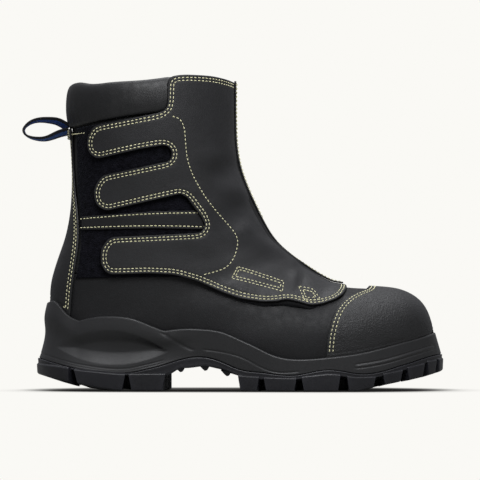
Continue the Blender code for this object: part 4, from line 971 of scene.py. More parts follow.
# ---------------------------------------------------------------- base leather and lining
def make_base():
    turns = np.linspace(BACK, 0.85, 40)
    top = shaft_points(np.interp(surface(171, turns)[:, 0], *np.array(COLLAR_SEAM).T) + 0.5, turns)
    notch = side_outline([(-32, 212), (-10, 140), (16, 108)], 1, 0, closed=False)
    ridge = angle_of(42, 99)
    back = turn_line(angle_of(*HEEL_CUP[-1]), top[0, 0], BACK)
    half = np.vstack([feather_run(INNER_TOE_ANGLE, BACK), back, top[:-1], notch, [(ridge, 0.0)]])
    outline = joined(half, mirrored(half[:-1]), toe_row(INNER_TOE_ANGLE))
    panel("lining_mesh", outline, -7.2, -5.9, "spacer_fabric", ["lining"], radius=0.3, rows=(), cell=5, step=4,
          relief=no_relief, steps=())

    seam_edge = side_outline(VAMP_SEAM, 1, 0, closed=False)
    ridge = angle_of(58, 89) + 0.6
    back = BACK - SEAM_SLIT
    low = angle_of(-138, 88)
    up = turn_line(angle_of(*HEEL_CUP[-1]), low, back)
    half = np.vstack([feather_run(TOE_ANGLE, back), up, seam_edge[1:-1], [(ridge, 0.0)]])
    outline = joined(half, mirrored(half[:-1]), toe_row(TOE_ANGLE))
    panel("vamp_leather", outline, -LEATHER, 0, "oiled_leather", ["vamp"], rows=(), cell=4.5, step=3,
          relief=soft_relief, seed=11, steps=(0.5, 1.4))

    for name, side, front in (
        ("quarter_lateral", -1, [(-36, 217), (-31, 190), (-22, 160), (-8, 130), (10, 104), (26, 90)]),
        ("quarter_medial", 1, [(-14, 222), (-12, 190), (-6, 160), (6, 130), (22, 108), (42, 92)]),
    ):
        top = [(x, z + 1.5) for x, z in COLLAR_SEAM]
        bottom = [(x, z + 0.75) for x, z in VAMP_SEAM if x < front[-1][0] - 8]
        path = top[1:] + front + bottom[::-1]
        edge = traced(path, 3, side)
        edge = edge[np.abs(edge[:, 1]) < back - 0.05]
        start = shaft_point(top[0][1], side * back)
        end = angle_of(-137.3, 91.2)
        outline = joined(edge, turn_line(end, start[0], side * back))
        panel(name + "_leather", outline, -LEATHER, 0.15, "oiled_leather", [name], rows=(), cell=4, step=3,
              relief=soft_relief, seed=21, steps=(0.45, 1.2))
    vamp_rows = []
    for drop in (2.4, 4.8):
        line = [(x, z - drop) for x, z in VAMP_SEAM if x < 30]
        picked = traced(line, 3, 1)
        picked = picked[np.abs(picked[:, 1]) < back - 0.2]
        vamp_rows += stitches_along(picked, 0.0, soft_relief, 11, 6, 0.15)
    stitch_mesh("vamp_seam_stitches", vamp_rows)


def soft_relief(points, seed):
    """Very slight swells, for leather that lies tight on the last."""
    return 0.25 * waves(points, 30.0, seed) + 0.08 * waves(points, 11.0, seed + 3)


def make_tongue():
    lateral = traced([(-41, 239), (-41, 190), (-35, 150), (-16, 118), (10, 96), (40, 82)], 4, -1)
    medial = traced([(-24, 239), (-22, 190), (-16, 155), (-2, 126), (18, 104), (46, 86)], 4, 1)
    low = np.array([(angle_of(56, 89.8), -0.4), (angle_of(58, 88.8), 0.0), (angle_of(56, 89.8), 0.4)])
    turns = np.linspace(medial[0, 1], lateral[0, 1], 25)[1:-1]
    top = shaft_points(np.full(len(turns), SHAFT_TOP - 1.5), turns)
    outline = joined(lateral, low, medial[::-1], top)
    made = panel("tongue_padded", outline, -4.9, -3.3, "collar_leather", ["tongue"], radius=0.7, rows=(), cell=4,
                 step=2.5, relief=quilted, seed=31, steps=(0.3, 0.9, 2.0, 3.5))


def quilted(points, seed):
    """The tongue's channels, which run across it, and the slack between them."""
    return 0.3 * waves(points, 16.0, seed) + 0.35 * np.cos(points[:, 2] / 3.2)


# ---------------------------------------------------------------- overlays
def dense_line(line, step=1.0):
    return subdivided(smooth_line(line), step, closed=False)


def make_overlays():
    edge = [(72.4, 24.0), (73.6, 42), (76.9, 55.4), (82.6, 66), (90.4, 72.4), (98.6, 75.9), (104.4, 77.6)]
    front = [(x, z - 0.6) for x, z in LIP_LINE if 78 < x < 153]
    run = traced(smooth_line(edge[::-1]), 2.5, 1, 1.0)
    low = traced(front, 2.5, 1, 1.0)
    half = np.vstack([[(angle_of(106.2, 79.2), 0.0)], run, low, [(angle_of(155, 44.4), 0.0)]])
    outline = joined(half, mirrored(half[1:-1]))
    seam = tree_of([(x, 0, z) for x, z in dense_line(edge + [(107, 80)])])

    def on_seam(points):
        return (nearest(seam, points * [1, 0, 1]) < 8.5) & (points[:, 2] > 29.5)

    panel("toe_bumper_leather", outline, 0.9, 2.5, "pebbled_leather", ["toe_bumper"], radius=1.3, rows=(2.3, 5.0),
          cell=3.5, step=1.8, relief=soft_relief, seed=41)
    rows = seam_rows(outline, (2.3, 5.0), 2.5, soft_relief, 41, keep=on_seam)
    stitch_mesh("toe_bumper_stitches", rows)

    edge = [(-124, 199), (-122, 156), (-120, 139), (-119.3, 114), (-121, 100), (-124, 78), (-125.6, 57.6)]
    foot = [(-131, 60.6), (-136, 65.4)]
    run = traced(np.vstack([smooth_line(edge), foot]), 2.5, 1, 1.0)
    run = run[run[:, 1] < BACK - 0.08]
    top = [shaft_point(205.0, BACK)]
    bottom = [(angle_of(-140.1, 69.2), BACK)]
    seam = tree_of([(x, 0, z) for x, z in dense_line(edge)])
    other = run[::-1] * [1, -1] + [0, 2 * BACK]
    outline = joined(top, run, bottom, other)

    def on_stay(points):
        return (nearest(seam, points * [1, 0, 1]) < 5.4) & (points[:, 2] > 62.5) & (points[:, 2] < 199)

    panel("back_stay_leather", outline, 0.9, 2.4, "collar_leather", ["back_stay"], radius=1.1, rows=(2.0, 4.4),
          cell=3.5, step=1.8, relief=soft_relief, seed=51)
    rows = seam_rows(outline, (2.0, 4.4), 2.4, soft_relief, 51, keep=on_stay)
    stitch_mesh("back_stay_stitches", rows)

    corners = [(-120.6, 203.6, 0), (-106.8, 206.2, 0), (-79.4, 211, 0), (-57.6, 213.6, 0), (-38, 214), (-30, 180, 0),
               (-20, 150, 0), (-6, 122, 0), (0, 100, 0), (-8, 88, 0), (-60, 88.5, 0), (-121.6, 87.2, 0),
               (-119, 99, 0), (-117.2, 114, 0), (-118, 139, 0), (-120, 156, 0)]
    panel("loop_panel_pile", side_outline(corners, -1, 1.2), 0.8, 1.75, "loop_pile", ["loop_panel"], radius=0.6,
          rows=(), cell=1.5, step=1.5, relief=no_relief, steps=(0.5, 1.2), pile=0.16)

    corners = [(-116.6, 124.7), (-60, 126, 200), (-18, 125), (-20, 140), (-60, 139.2, 200), (-116.8, 135.2)]
    outline = side_outline(corners, -1, 2.8)
    panel("quarter_strap_leather", outline, 2.5, 3.5, "oiled_leather", ["quarter_strap"], radius=0.7, rows=(1.9,),
          cell=3, step=1.6, relief=no_relief, seed=61)
    rows = []
    for line in ([(-118, 133.2), (-60, 137.4), (-22, 138.0)], [(-118, 126.4), (-60, 128), (-20, 127.2)]):
        rows += stitches_along(locate(dense_line(line), -1, 2.8), 3.5, sink=0.05)
    stitch_mesh("quarter_strap_stitches", rows)


# ---------------------------------------------------------------- flap, its fingers and the inner front panel
SEAM_LINE = [(-46.8, 212.6), (-41.6, 210.9), (-38.2, 206), (-36.8, 198), (-34.8, 179), (-26.6, 159), (-15.4, 142.4),
             (-2.5, 127.6), (3.5, 116), (2.3, 107), (-4.7, 96), (-14.8, 92), (-22.6, 90)]
BOX_ONE = [(3.7, 96), (-0.3, 87), (38.7, 77), (39.5, 84)]
BOX_TWO = [(51.5, 81), (63.4, 79), (68.2, 73), (56.2, 70.5)]
ROOTS = [((-50.4, 217.2), (-50.4, 189.8)), ((-47.5, 178.6), (-40.5, 152.2)), ((-28.6, 122.6), (-27, 85))]
SLOT_ONE = [(-54, 189.9, 0), (-49.4, 189.2, 2.5), (-46.6, 184.5, 3.5), (-48.4, 178.2, 3), (-54, 177, 0)]
SLOT_TWO = [(-44.6, 151.4, 0), (-39.8, 152.4, 2), (-35, 149.5, 3), (-24, 134.5, 10), (-21.2, 128.2, 5),
            (-23.6, 123.2, 4), (-30, 122.5, 0)]


def flap_outline():
    """From the tip up the ridge, along the top, down round the three fingers and back along the lower edge."""
    ridge = locate([FLAP_TIP, (-4.4, 241.5)], -1)
    top = traced(spline_through(FLAP_TOP[:-1] + [(-47.6, 242.4), (-49.8, 238.5)], 8), 2.5, -1, FLAP_DRAWN)
    back = [(-49.9, 236), (-50.2, 222), (-52.2, 217.4, 3), (-57.7, 215.1, 12), (-107, 205.5, 7), (-112.7, 195, 14),
            (-111, 184, 9), (-104, 179.6, 6), (-71.4, 187, 40)]
    middle = [(-99.8, 167.3, 7), (-107.8, 158, 16), (-105.6, 144, 9), (-97.5, 139.2, 8)]
    lower = [(-60, 121, 60), (-95, 119.4, 9), (-101.8, 110, 12), (-101.8, 98, 10), (-96.5, 90, 8), (-64.5, 91, 60),
             (-44.6, 90, 30), (-27, 85, 40), (-9, 77, 60), (7, 71.5, 30), (24, 69, 30), (34.7, 69.6, 20),
             (42.7, 71.3, 15), (50.6, 69.7, 12), (61, 67.5, 12), (70.5, 70, 20), (80, 73.6, 12), (85.5, 77.5, 0)]
    corners = back + SLOT_ONE + middle + SLOT_TWO + lower
    rest = traced(filleted(corners, 0.3), 2.2, -1, FLAP_DRAWN)
    front = turn_line(ridge[0, 0], top[0, 0], -RIDGE_GAP, 2.5)
    return joined(front, top, rest)


def flap_part(x, z):
    """Which piece this place of the flap belongs to: 0 the flap itself, then the fingers from the top."""
    for number, (a, b) in enumerate(ROOTS, 1):
        edge = a[0] + (b[0] - a[0]) * (z - a[1]) / (b[1] - a[1])
        if b[1] - 3 < z < a[1] + 3 and x < edge:
            return number
    if x < -54:
        return 1 if z > 174 else 2 if z > 130 else 3
    return 0


DENTS = [(-9.5, 170, 8, 8.5, -2.7), (-21, 181, 10, 9, 1.2), (2.5, 138.5, 7, 7, -2.7), (-5, 154, 9, 6, 1.3),
         (52.5, 80, 2.8, 7, -1.2), (46.5, 83, 3.2, 6, 1.0)]  # x, z, half width, half height, lift
INSTEP_FOLD = [(6, 124), (16, 113), (31, 103.5), (44, 96)]


def flap_relief(points, seed):
    """Worn leather with soft swells, the dents where the shaft buckles at the ankle, and the fold down the instep."""
    lift = leather_relief(points, seed) * (1 - 0.45 * smooth_step((-points[:, 0] - 45) / 12))
    x, z = points[:, 0], points[:, 2]
    for at_x, at_z, wide, tall, high in DENTS:
        lift += high * np.exp(-(((x - at_x) / wide) ** 2) - ((z - at_z) / tall) ** 2)
    fold = tree_of([(px, 0, pz) for px, pz in subdivided(smooth_line(INSTEP_FOLD), 1.5, closed=False)])
    return lift + 2.4 * np.exp(-((nearest(fold, points * [1, 0, 1]) / 5.0) ** 2))


def shrunk(corners, inset):
    """The corners of a convex outline with each side moved in."""
    corners = [np.array(c, float) for c in corners]
    middle, made = np.mean(corners, axis=0), []
    for before, here, after in zip(corners[-1:] + corners[:-1], corners, corners[1:] + corners[:1]):
        lines = []
        for a, b in ((before, here), (here, after)):
            across = np.array([a[1] - b[1], b[0] - a[0]]) / np.linalg.norm(b - a)
            across *= np.sign(across @ (middle - a))
            lines.append((across, across @ a + inset))
        made.append(np.linalg.solve([across for across, _ in lines], [reach for _, reach in lines]))
    return made


def make_flap():
    outline = flap_outline()
    cuts = [locate(subdivided([a, b], 1.8, closed=False)[1:-1], -1, FLAP_DRAWN) for a, b in ROOTS]
    names = ("finger_upper", "finger_middle", "finger_lower")
    parts = [("flap_leather", "flap_leather", ["flap"])] + [(n + "_leather", n, [n]) for n in names]
    panel("flap", outline, flap_low, flap_high, "flap_leather", slot="oiled_leather", radius=1.05, cell=3.2, step=1.7,
          relief=flap_relief, seed=1.0, cuts=cuts, part_of=flap_part, parts=parts, dyed=lambda p,
          reach: (reach < 0.5) | (p[:, 1] > -0.11 - 0.13 * smooth_step((p[:, 0] - 172) / 15)))

    places = seam_rows(outline, ROWS_AT, flap_high, flap_relief, 1.0, keep=lambda p: p[:, 1] < -RIDGE_CLEAR)
    line = traced(spline_through(SEAM_LINE, 8), 2, -1, FLAP_DRAWN)
    places += stitches_along(line, flap_high, flap_relief, 1.0, 9, 0.05)
    for box in (BOX_ONE, BOX_TWO):
        for inset in (0, 1.9):
            ring = shrunk(box, inset)
            for a, b in zip(ring, ring[1:] + ring[:1]):
                line = traced([a, b], 2, -1, FLAP_DRAWN)
                places += stitches_along(line, flap_high, flap_relief, 1.0, 9, 0.05)
    groups = [[] for _ in range(4)]
    for place in places:
        groups[flap_part(place[0][0], place[0][2])].append(place)
    for group, (name, body) in zip(groups, (("flap", "flap_leather"),) + tuple((n, n) for n in names)):
        stitch_mesh(name + "_stitches", group, body)

    for name, corners in (
        ("upper", [(-58, 209, 3), (-103, 199.5, 3), (-105.5, 186.5, 3), (-62, 195.2, 3)]),
        ("middle", [(-54, 171.2, 3), (-98.5, 161.4, 3), (-99, 146.5, 3), (-50, 157, 3)]),
        ("lower", [(-36, 115.5, 3), (-94.5, 113.5, 3), (-95.5, 96.5, 3), (-40, 95.5, 3)]),
    ):
        panel("hook_tape_%s_cloth" % name, side_outline(corners, -1, 2.8), 2.5, 3.4, "hook_tape", ["hook_tape_" + name],
              "finger_" + name, radius=0.4, rows=(), cell=3, step=2, relief=no_relief, steps=(0.4, 1.2))


def make_front():
    ridge = locate([FLAP_TIP, (-4.4, 241.5)], -1)
    medial_back = [(-49, 240), (-48, 200), (-40, 160), (-26, 128), (-6, 100), (12, 84)]
    top = traced([(-5, 241.5), (-28, 243), (-46, 242.5)], 2.5, 1, FLAP_DRAWN)
    back = np.vstack([smooth_line(medial_back), [p for p in FLAP_LOWER if p[0] > 20]])
    edge = traced(back, 2.5, 1, FLAP_DRAWN)
    front = turn_line(ridge[0, 0], top[0, 0], RIDGE_GAP, 2.5)
    outline = joined(front, top, edge)
    panel("front_panel_leather", outline, flap_low, flap_high, "oiled_leather", ["front_panel_medial"], radius=1.05,
          cell=3.4, step=1.8, relief=leather_relief, seed=71, dyed=lambda p, reach: reach < 0.5)
    places = seam_rows(outline, ROWS_AT, flap_high, leather_relief, 71, keep=lambda p: p[:, 1] > RIDGE_CLEAR)
    stitch_mesh("front_panel_stitches", places)

    low, high = ridge[0, 0] - 0.4, top[0, 0] - 0.3
    strip = np.vstack([turn_line(low, high, 0.03, 2), turn_line(high, low, 0.15, 2)])
    panel("front_seam_strip_leather", strip, strip_low, strip_high, "edge_tape", ["front_seam_strip"], radius=0.5,
          rows=(1.3,), groove=0.15, cell=2.5, step=1.5, relief=no_relief, steps=(0.3, 0.7, 1.3, 1.9))
    places = []
    for turn, start in ((0.055, angle_of(20, 131)), (0.128, low - 0.3)):
        places += stitches_along(turn_line(start, high + 0.3, turn, 2), strip_high, sink=-0.4)
    stitch_mesh("front_seam_stitches", places)


def make_guard():
    lateral = [(20, 112), (6, 97), (14, 84), (50, 80), (76, 81)]
    run = traced(lateral, 3, 1, 2)
    half = np.vstack([[(angle_of(30, 108.7), 0.0)], run[1:-1], [(angle_of(81, 81.2), 0.0)]])

    def low(angle, turn):
        return 1.4 - 1.1 * smooth_step((surface(angle, turn)[..., 0] - 50) / 20)

    def high(angle, turn):
        return np.minimum(4.1, flap_low(angle, turn) - 0.3)

    def pad_low(angle, turn):
        return np.clip(flap_low(angle, turn) - 1.6, 0.15, 1.0)

    def pad_high(angle, turn):
        return np.maximum(flap_low(angle, turn) - 0.35, 0.5)

    panel("metatarsal_guard_shell", joined(half, mirrored(half[1:-1])), low, high, "guard_plastic",
          ["metatarsal_guard"], radius=1.2, rows=(), cell=4, step=2.5, relief=no_relief, steps=(0.3, 0.9, 1.8))
    pad = [(-22, 84.6, 0), (-4, 77, 0), (8, 70, 0), (24, 66.6, 0), (40, 67.6, 0), (60, 64.8, 0), (74, 69.2, 0),
           (79, 73.5, 0), (60, 77, 0), (50, 78, 0), (13, 81.6, 0), (-6, 88, 0)]
    made = panel("flap_edge_pad_felt", side_outline(pad, -1, 2.5), pad_low, pad_high, "felt_padding", ["flap_edge_pad"],
                 "flap_leather", radius=1.4, rows=(), cell=3, step=1.8, relief=soft_relief, seed=81,
                 steps=(0.3, 0.8, 1.5, 2.5), pile=0.08)


# ---------------------------------------------------------------- collar
def tube_faces(rings, around):
    """Faces of a closed tube through rings of points, and those of its two ends."""
    faces = [[k * around + j, k * around + (j + 1) % around, (k + 1) * around + (j + 1) % around, (k + 1) * around + j]
             for k in range(rings - 1) for j in range(around)]
    ends = [list(range(around)), [(rings - 1) * around + j for j in reversed(range(around))]]
    return faces, ends


COLLAR_STATIONS, COLLAR_AROUND, COLLAR_HEIGHT = 190, 64, 26.0
COLLAR_PROFILE = [  # (share of the height, offset), from the seam over the top to the inside and back under the skin
    (0.0, 1.6), (0.03, 2.6), (0.15, 3.5), (0.32, 4.1), (0.5, 4.2), (0.68, 3.9), (0.86, 2.9), (0.96, 1.2), (0.995, -2.2),
    (0.96, -5.6), (0.86, -7.6), (0.5, -8.2), (0.1, -8.0), (0.1, -7.0), (0.5, -7.1), (0.8, -6.5), (0.92, -4.6),
    (0.94, -2.2), (0.92, -0.4), (0.83, 1.2), (0.5, 2.3), (0.15, 2.0), (0.02, 0.9),
]


def make_collar():
    first = COLLAR_FROM - 0.07  # the cover reaches round the ends of the foam
    ends = np.array([0.004, 0.012, 0.025, 0.045])  # more rings where the roll closes
    turns = np.linspace(first, FULL_TURN - first, COLLAR_STATIONS)
    turns = np.unique(np.round(np.concatenate([turns, first + ends, FULL_TURN - first - ends]), 6))
    count = len(turns)
    from_end = 42 * (math.pi - first - np.abs(turns - math.pi))
    full = np.sqrt(np.clip(1 - (1 - np.minimum(from_end / 2.2, 1)) ** 2, 0.12, 1))
    seam, top = np.array(COLLAR_SEAM), spline_through(COLLAR_TOP, 8)
    reach = surface(168, turns)[:, 0]
    low, high = np.interp(reach, seam[:, 0], seam[:, 1]), np.interp(reach, top[:, 0], top[:, 1])
    fade = smooth_step((math.pi - COLLAR_FROM - np.abs(turns - math.pi)) / 0.6)
    loop = spline_through(np.array(COLLAR_PROFILE) * [COLLAR_HEIGHT, 1.0], 12, closed=True)
    loop = even(loop, count=COLLAR_AROUND) / [COLLAR_HEIGHT, 1.0]
    shares, offsets = loop[:, 0], loop[:, 1]
    outside = smooth_step((offsets + 1.5) / 3)
    rings = []
    for k, turn in enumerate(turns):
        heights = low[k] + (high[k] - low[k]) * (0.5 + (shares - 0.5) * (0.86 + 0.14 * full[k]))
        at = shaft_points(heights, np.full(len(shares), turn))
        base, n = surface(at[:, 0], at[:, 1]), normal(at[:, 0], at[:, 1])
        n[:, 2] = 0
        swell = 0.9 * fade[k] * np.maximum(shares, 0) ** 0.4
        thick = offsets.mean() + (offsets - offsets.mean()) * full[k]
        rings.append(base + unit(n) * (thick + swell)[:, None])
    points = np.vstack(rings)
    share = np.tile(shares, count)
    soft = 0.35 * waves(points, 20.0, 91) + 0.18 * waves(points * [1, 1, 0.35], 6.0, 93)
    gather = np.exp(-((share - 0.12) / 0.16) ** 2) * waves(points * [1.6, 1.6, 0.2], 4.2, 95) * 0.45
    lean = np.tile(np.where(offsets > -3, 1.0, -0.3) * outside, count)
    out = points - np.array([-88, HEEL_SHIFT, 0])
    out[:, 2] = 0
    points = points + unit(out) * ((soft + gather) * lean)[:, None]
    faces, ends = tube_faces(count, COLLAR_AROUND)
    made = outward(new_object("collar_padded", points, faces + ends, "collar_leather"))
    attach(made, "boot", ["collar"])
    places = []
    for side, high, rest in ((1, 0.15, [(x, z - 5.5) for x, z in COLLAR_SEAM[1:]]), (-1, 1.8, [(-113, 200)])):
        places += stitches_along(traced([(-123.4, 199.2)] + rest, 3, side), high, sink=0.05)
    stitch_mesh("collar_seam_stitches", places)


# ---------------------------------------------------------------- pull loop
LOOP_PATH = [
    (-127.6, 204.3), (-132.0, 207.2), (-137, 209.5), (-143, 210.4), (-149.5, 210.6), (-156, 209.2), (-160.6, 206.2),
    (-162.7, 202.8), (-161.6, 199.6), (-157.6, 197.1), (-152, 195.9), (-145.6, 196.0), (-140, 197.8), (-135, 199.8),
    (-127.6, 201.8),
]
LOOP_TILT = [(0, -0.34), (0.12, -0.30), (0.3, -0.15), (0.45, -0.02), (0.58, 0.0), (0.75, 0.13), (0.88, 0.24), (1, 0.3)]
LOOP_HALF, LOOP_THICK, STRIPE_HALF = 8.6, 1.5, 4.6


def make_pull_loop():
    line = spline_through(LOOP_PATH, 9)
    along = unit(np.gradient(line, axis=0))
    tilt = np.interp(np.linspace(0, 1, len(line)), *np.array(LOOP_TILT).T)
    across = np.concatenate([np.linspace(-1, -0.86, 3), np.linspace(-0.8, 0.8, 33), np.linspace(0.86, 1, 3)])
    half = LOOP_THICK / 2 * np.sqrt(np.maximum(1 - (np.maximum(np.abs(across) - 0.9, 0) / 0.1) ** 2, 0.12))
    rib = 0.07 * np.cos(across * LOOP_HALF * FULL_TURN / 1.15)
    points, around = [], 2 * len(across)
    for p, d, t in zip(line, along, tilt):
        side = np.array([-d[1] * -math.sin(t), math.cos(t), d[0] * -math.sin(t)])
        tangent = np.array([d[0], 0, d[1]])
        side = unit(side - tangent * (side @ tangent))
        up = np.cross(tangent, side)
        centre = np.array([p[0], HEEL_SHIFT, p[1]])
        top = [centre + side * (u * LOOP_HALF) + up * (h + r) for u, h, r in zip(across, half, rib)]
        low = [centre + side * (u * LOOP_HALF) - up * (h + r) for u, h, r in zip(across, half, rib)]
        points += top + low[::-1]
    faces, ends = tube_faces(len(line), around)
    made = new_object("pull_loop_webbing", points, faces + ends, "webbing_black", "webbing_blue_painted_bright")
    blue = []
    for k in range(len(faces)):
        j = k % around
        u = across[j] if j < len(across) else across[::-1][j - len(across)]
        blue.append(1 if abs(u) * LOOP_HALF < STRIPE_HALF else 0)
    made.data.polygons.foreach_set("material_index", blue + [0, 0])
    outward(made)
    attach(made, "pull_loop", ["pull_loop"])

    corners = [(195.2, BACK - 0.26), (203.4, BACK - 0.26), (203.4, BACK + 0.26), (195.2, BACK + 0.26)]
    outline = dense(np.array([shaft_point(*corner) for corner in corners + corners[:1]]), 1.5)[:-1]
    panel("pull_loop_anchor_webbing", outline, 2.7, 4.0, "webbing_black", ["pull_loop_anchor"], slot="loop_webbing",
          radius=0.5, rows=(), cell=1.6, step=1.2, relief=no_relief, steps=(0.3, 0.8))
    places = []
    for height in (196.4, 198.4, 200.4, 202.2):
        turns = np.linspace(-0.235, 0.235, 9) + BACK
        line = np.array([shaft_point(height + (0.9 if i % 2 else -0.9), turn) for i, turn in enumerate(turns)])
        places += stitches_along(line, 4.0, sink=0.1, pitch=2.2)
    stitch_mesh("pull_loop_bartack", places)


# ---------------------------------------------------------------- sole
RING_COUNT = 230  # stations round each half of the sole
SOLE_SPAN, SOLE_FROM = 294.1, 138.6  # length of the feather outline and how far back it starts
BOARD_TOP, BOARD_THICK = 0.5, 2.4
FEATHER_ENDS = (-128, 155)
SOLE_EDGE, LIP_EDGE, LIP_INSIDE = (314.0, 151.2), (300.2, 142.9), (294.6, 140.0)  # length, and how far back it starts


def perimeter(count=RING_COUNT):
    """Points of the feather outline in plan, from the toe round the outer side to the heel and back, and their
    outward directions."""
    mirror = [(x, -y) for x, y in FEATHER_PLAN[-2:0:-1]]
    outline = spline_through(list(FEATHER_PLAN) + mirror, closed=True)
    ring = even(outline * [1, -1])
    at = np.linspace(0, len(ring), 2 * count, endpoint=False)
    ring = at_run(np.vstack([ring, ring[:1]]), np.arange(len(ring) + 1), at)
    ahead = unit(np.roll(ring, -1, axis=0) - np.roll(ring, 1, axis=0))
    out = np.stack([ahead[:, 1], -ahead[:, 0]], axis=1)
    for _ in range(4):
        out = unit(out + np.roll(out, 1, axis=0) + np.roll(out, -1, axis=0))
    if (out * (ring - [10, 0])).sum() < 0:
        out = -out
    return ring, out


def edge_x(x, edge):
    """x on one of the sole's outlines beside this x of the feather outline."""
    return (x + SOLE_FROM) / SOLE_SPAN * edge[0] - edge[1]


def spread_of(out):
    """How far the sole's edge stands out past the feather outline."""
    return 5.0 + np.where(out[:, 0] < 0, 7.2, 2.6) * out[:, 0] ** 2


def in_plan(ring, out, distance, heights):
    """The outline moved outwards in plan and set at these heights."""
    p = ring + out * np.broadcast_to(distance, len(ring))[:, None]
    return np.column_stack([p[:, 0], p[:, 1] + swing(ring[:, 0]), np.broadcast_to(heights, len(ring))])


def smooth_at(line, x, corners=()):
    """Height of a smooth curve through the line's points, with a kink at each point in corners."""
    cuts = [0] + [i for i, p in enumerate(line) if p in corners] + [len(line) - 1]
    curve = np.vstack([spline_through(line[a : b + 1], 10) for a, b in zip(cuts[:-1], cuts[1:])])
    order = np.argsort(curve[:, 0])
    return np.interp(x, curve[order, 0], curve[order, 1])


def feather_height(x):
    """Height of the feather line, held level past the places where it turns up."""
    x = np.clip(x, *FEATHER_ENDS)
    line = spline_through(END_LINE)
    foot = line[: int(np.argmin(line[:, 0])) + 1]
    foot = foot[np.argsort(foot[:, 0])]
    return np.interp(x, foot[:, 0], foot[:, 1])


def ringed(name, rings, finish):
    """A closed tube through rings of points that run round the sole, with its first and last ring filled across."""
    n = len(rings[0])
    faces = []
    for r in range(len(rings) - 1):
        for k in range(n):
            faces.append([r * n + k, r * n + (k + 1) % n, (r + 1) * n + (k + 1) % n, (r + 1) * n + k])
    for base in (0, (len(rings) - 1) * n):
        for k in range(n // 2):
            quad = [k, k + 1, (n - k - 1) % n, (n - k) % n]
            quad = [base + q for i, q in enumerate(quad) if q not in quad[:i]]
            faces.append(quad)
    return outward(new_object(name, np.vstack(rings), faces, finish))


def inner_boundary(sole_x):
    return line_at(BOUNDARY_LINE, sole_x) - 3.4 * smooth_step((sole_x - 5) / 20)


def plate_under(sole_x):
    """Height of the outsole's underside away from its edge."""
    return np.minimum(line_at(PLATE_LINE, sole_x), inner_boundary(sole_x) - 3.6)


def off_line(x, z, line):
    """Distance of side-view points from a polyline, negative above it."""
    points = np.stack([x, z], axis=1)
    best, sign = np.full(len(points), 1e9), np.ones(len(points))
    line = spline_through(line, 6) if len(line) > 2 else np.array(line, float)
    for a, b in zip(line[:-1], line[1:]):
        d = b - a
        share = np.clip(((points - a) @ d) / (d @ d), 0, 1)
        gap = points - a - share[:, None] * d
        size = np.linalg.norm(gap, axis=1)
        closer = size < best
        best = np.where(closer, size, best)
        sign = np.where(closer, np.sign(gap[:, 0] * d[1] - gap[:, 1] * d[0]), sign)
    return best * sign


def lens(x, z, tips, up, down):
    """How deep inside an almond shape a point lies, in mm; negative outside."""
    (x0, z0), (x1, z1) = tips
    u = np.clip((x - (x0 + x1) / 2) / ((x1 - x0) / 2), -1.4, 1.4)
    v = z - (z0 + (z1 - z0) * (x - x0) / (x1 - x0))
    tall = np.where(v > 0, up, down) * (1 - u * u)
    return tall - np.abs(v)


TOE_RIB = [(96.7, 19.5), (116, 22.6), (136, 28), (155.8, 33.7)]
ARCH_GROOVE = [(-21, 32), (-1.6, 29), (11, 24.6), (23.4, 18), (33, 15), (50.7, 15.4)]
LIP_CREASE = [(-54, 45.0), (-47, 40.5), (-39, 35.8), (-31, 32)]
HEEL_LENS = ((-138, 34), (-50, 30.5))
HEEL_LENS_INNER = ((-126, 33.8), (-56, 33))


def sculpted(x, z, above):
    """How far the midsole's side stands out or in, from the side-view place and the height above its lower edge."""
    outer = lens(x, z, HEEL_LENS, 15, 11.8)
    inner = lens(x, z, HEEL_LENS_INNER, 6.3, 4.4)
    way_in = np.maximum(outer, 0) / np.maximum(np.maximum(outer, 0) + np.maximum(-inner, 0), 0.05)
    cut = -2.3 * way_in - 0.25 * smooth_step(inner / 1.2)
    heel = smooth_step((-x - 50) / 10)
    for height in (1.5, 3.3):
        cut -= heel * 0.4 * np.exp(-(((above - height) / 0.5) ** 2))
    rib = off_line(x, z, TOE_RIB)
    cut += 0.3 * np.exp(-((rib / 0.7) ** 2)) - 0.4 * np.exp(-(((np.abs(rib) - 1.7) / 0.55) ** 2))
    cut -= 0.4 * np.exp(-((off_line(x, z, ARCH_GROOVE) / 0.7) ** 2))
    crease = off_line(x, z, LIP_CREASE)
    cut -= 0.65 * np.exp(-((crease / 0.9) ** 2))
    return cut


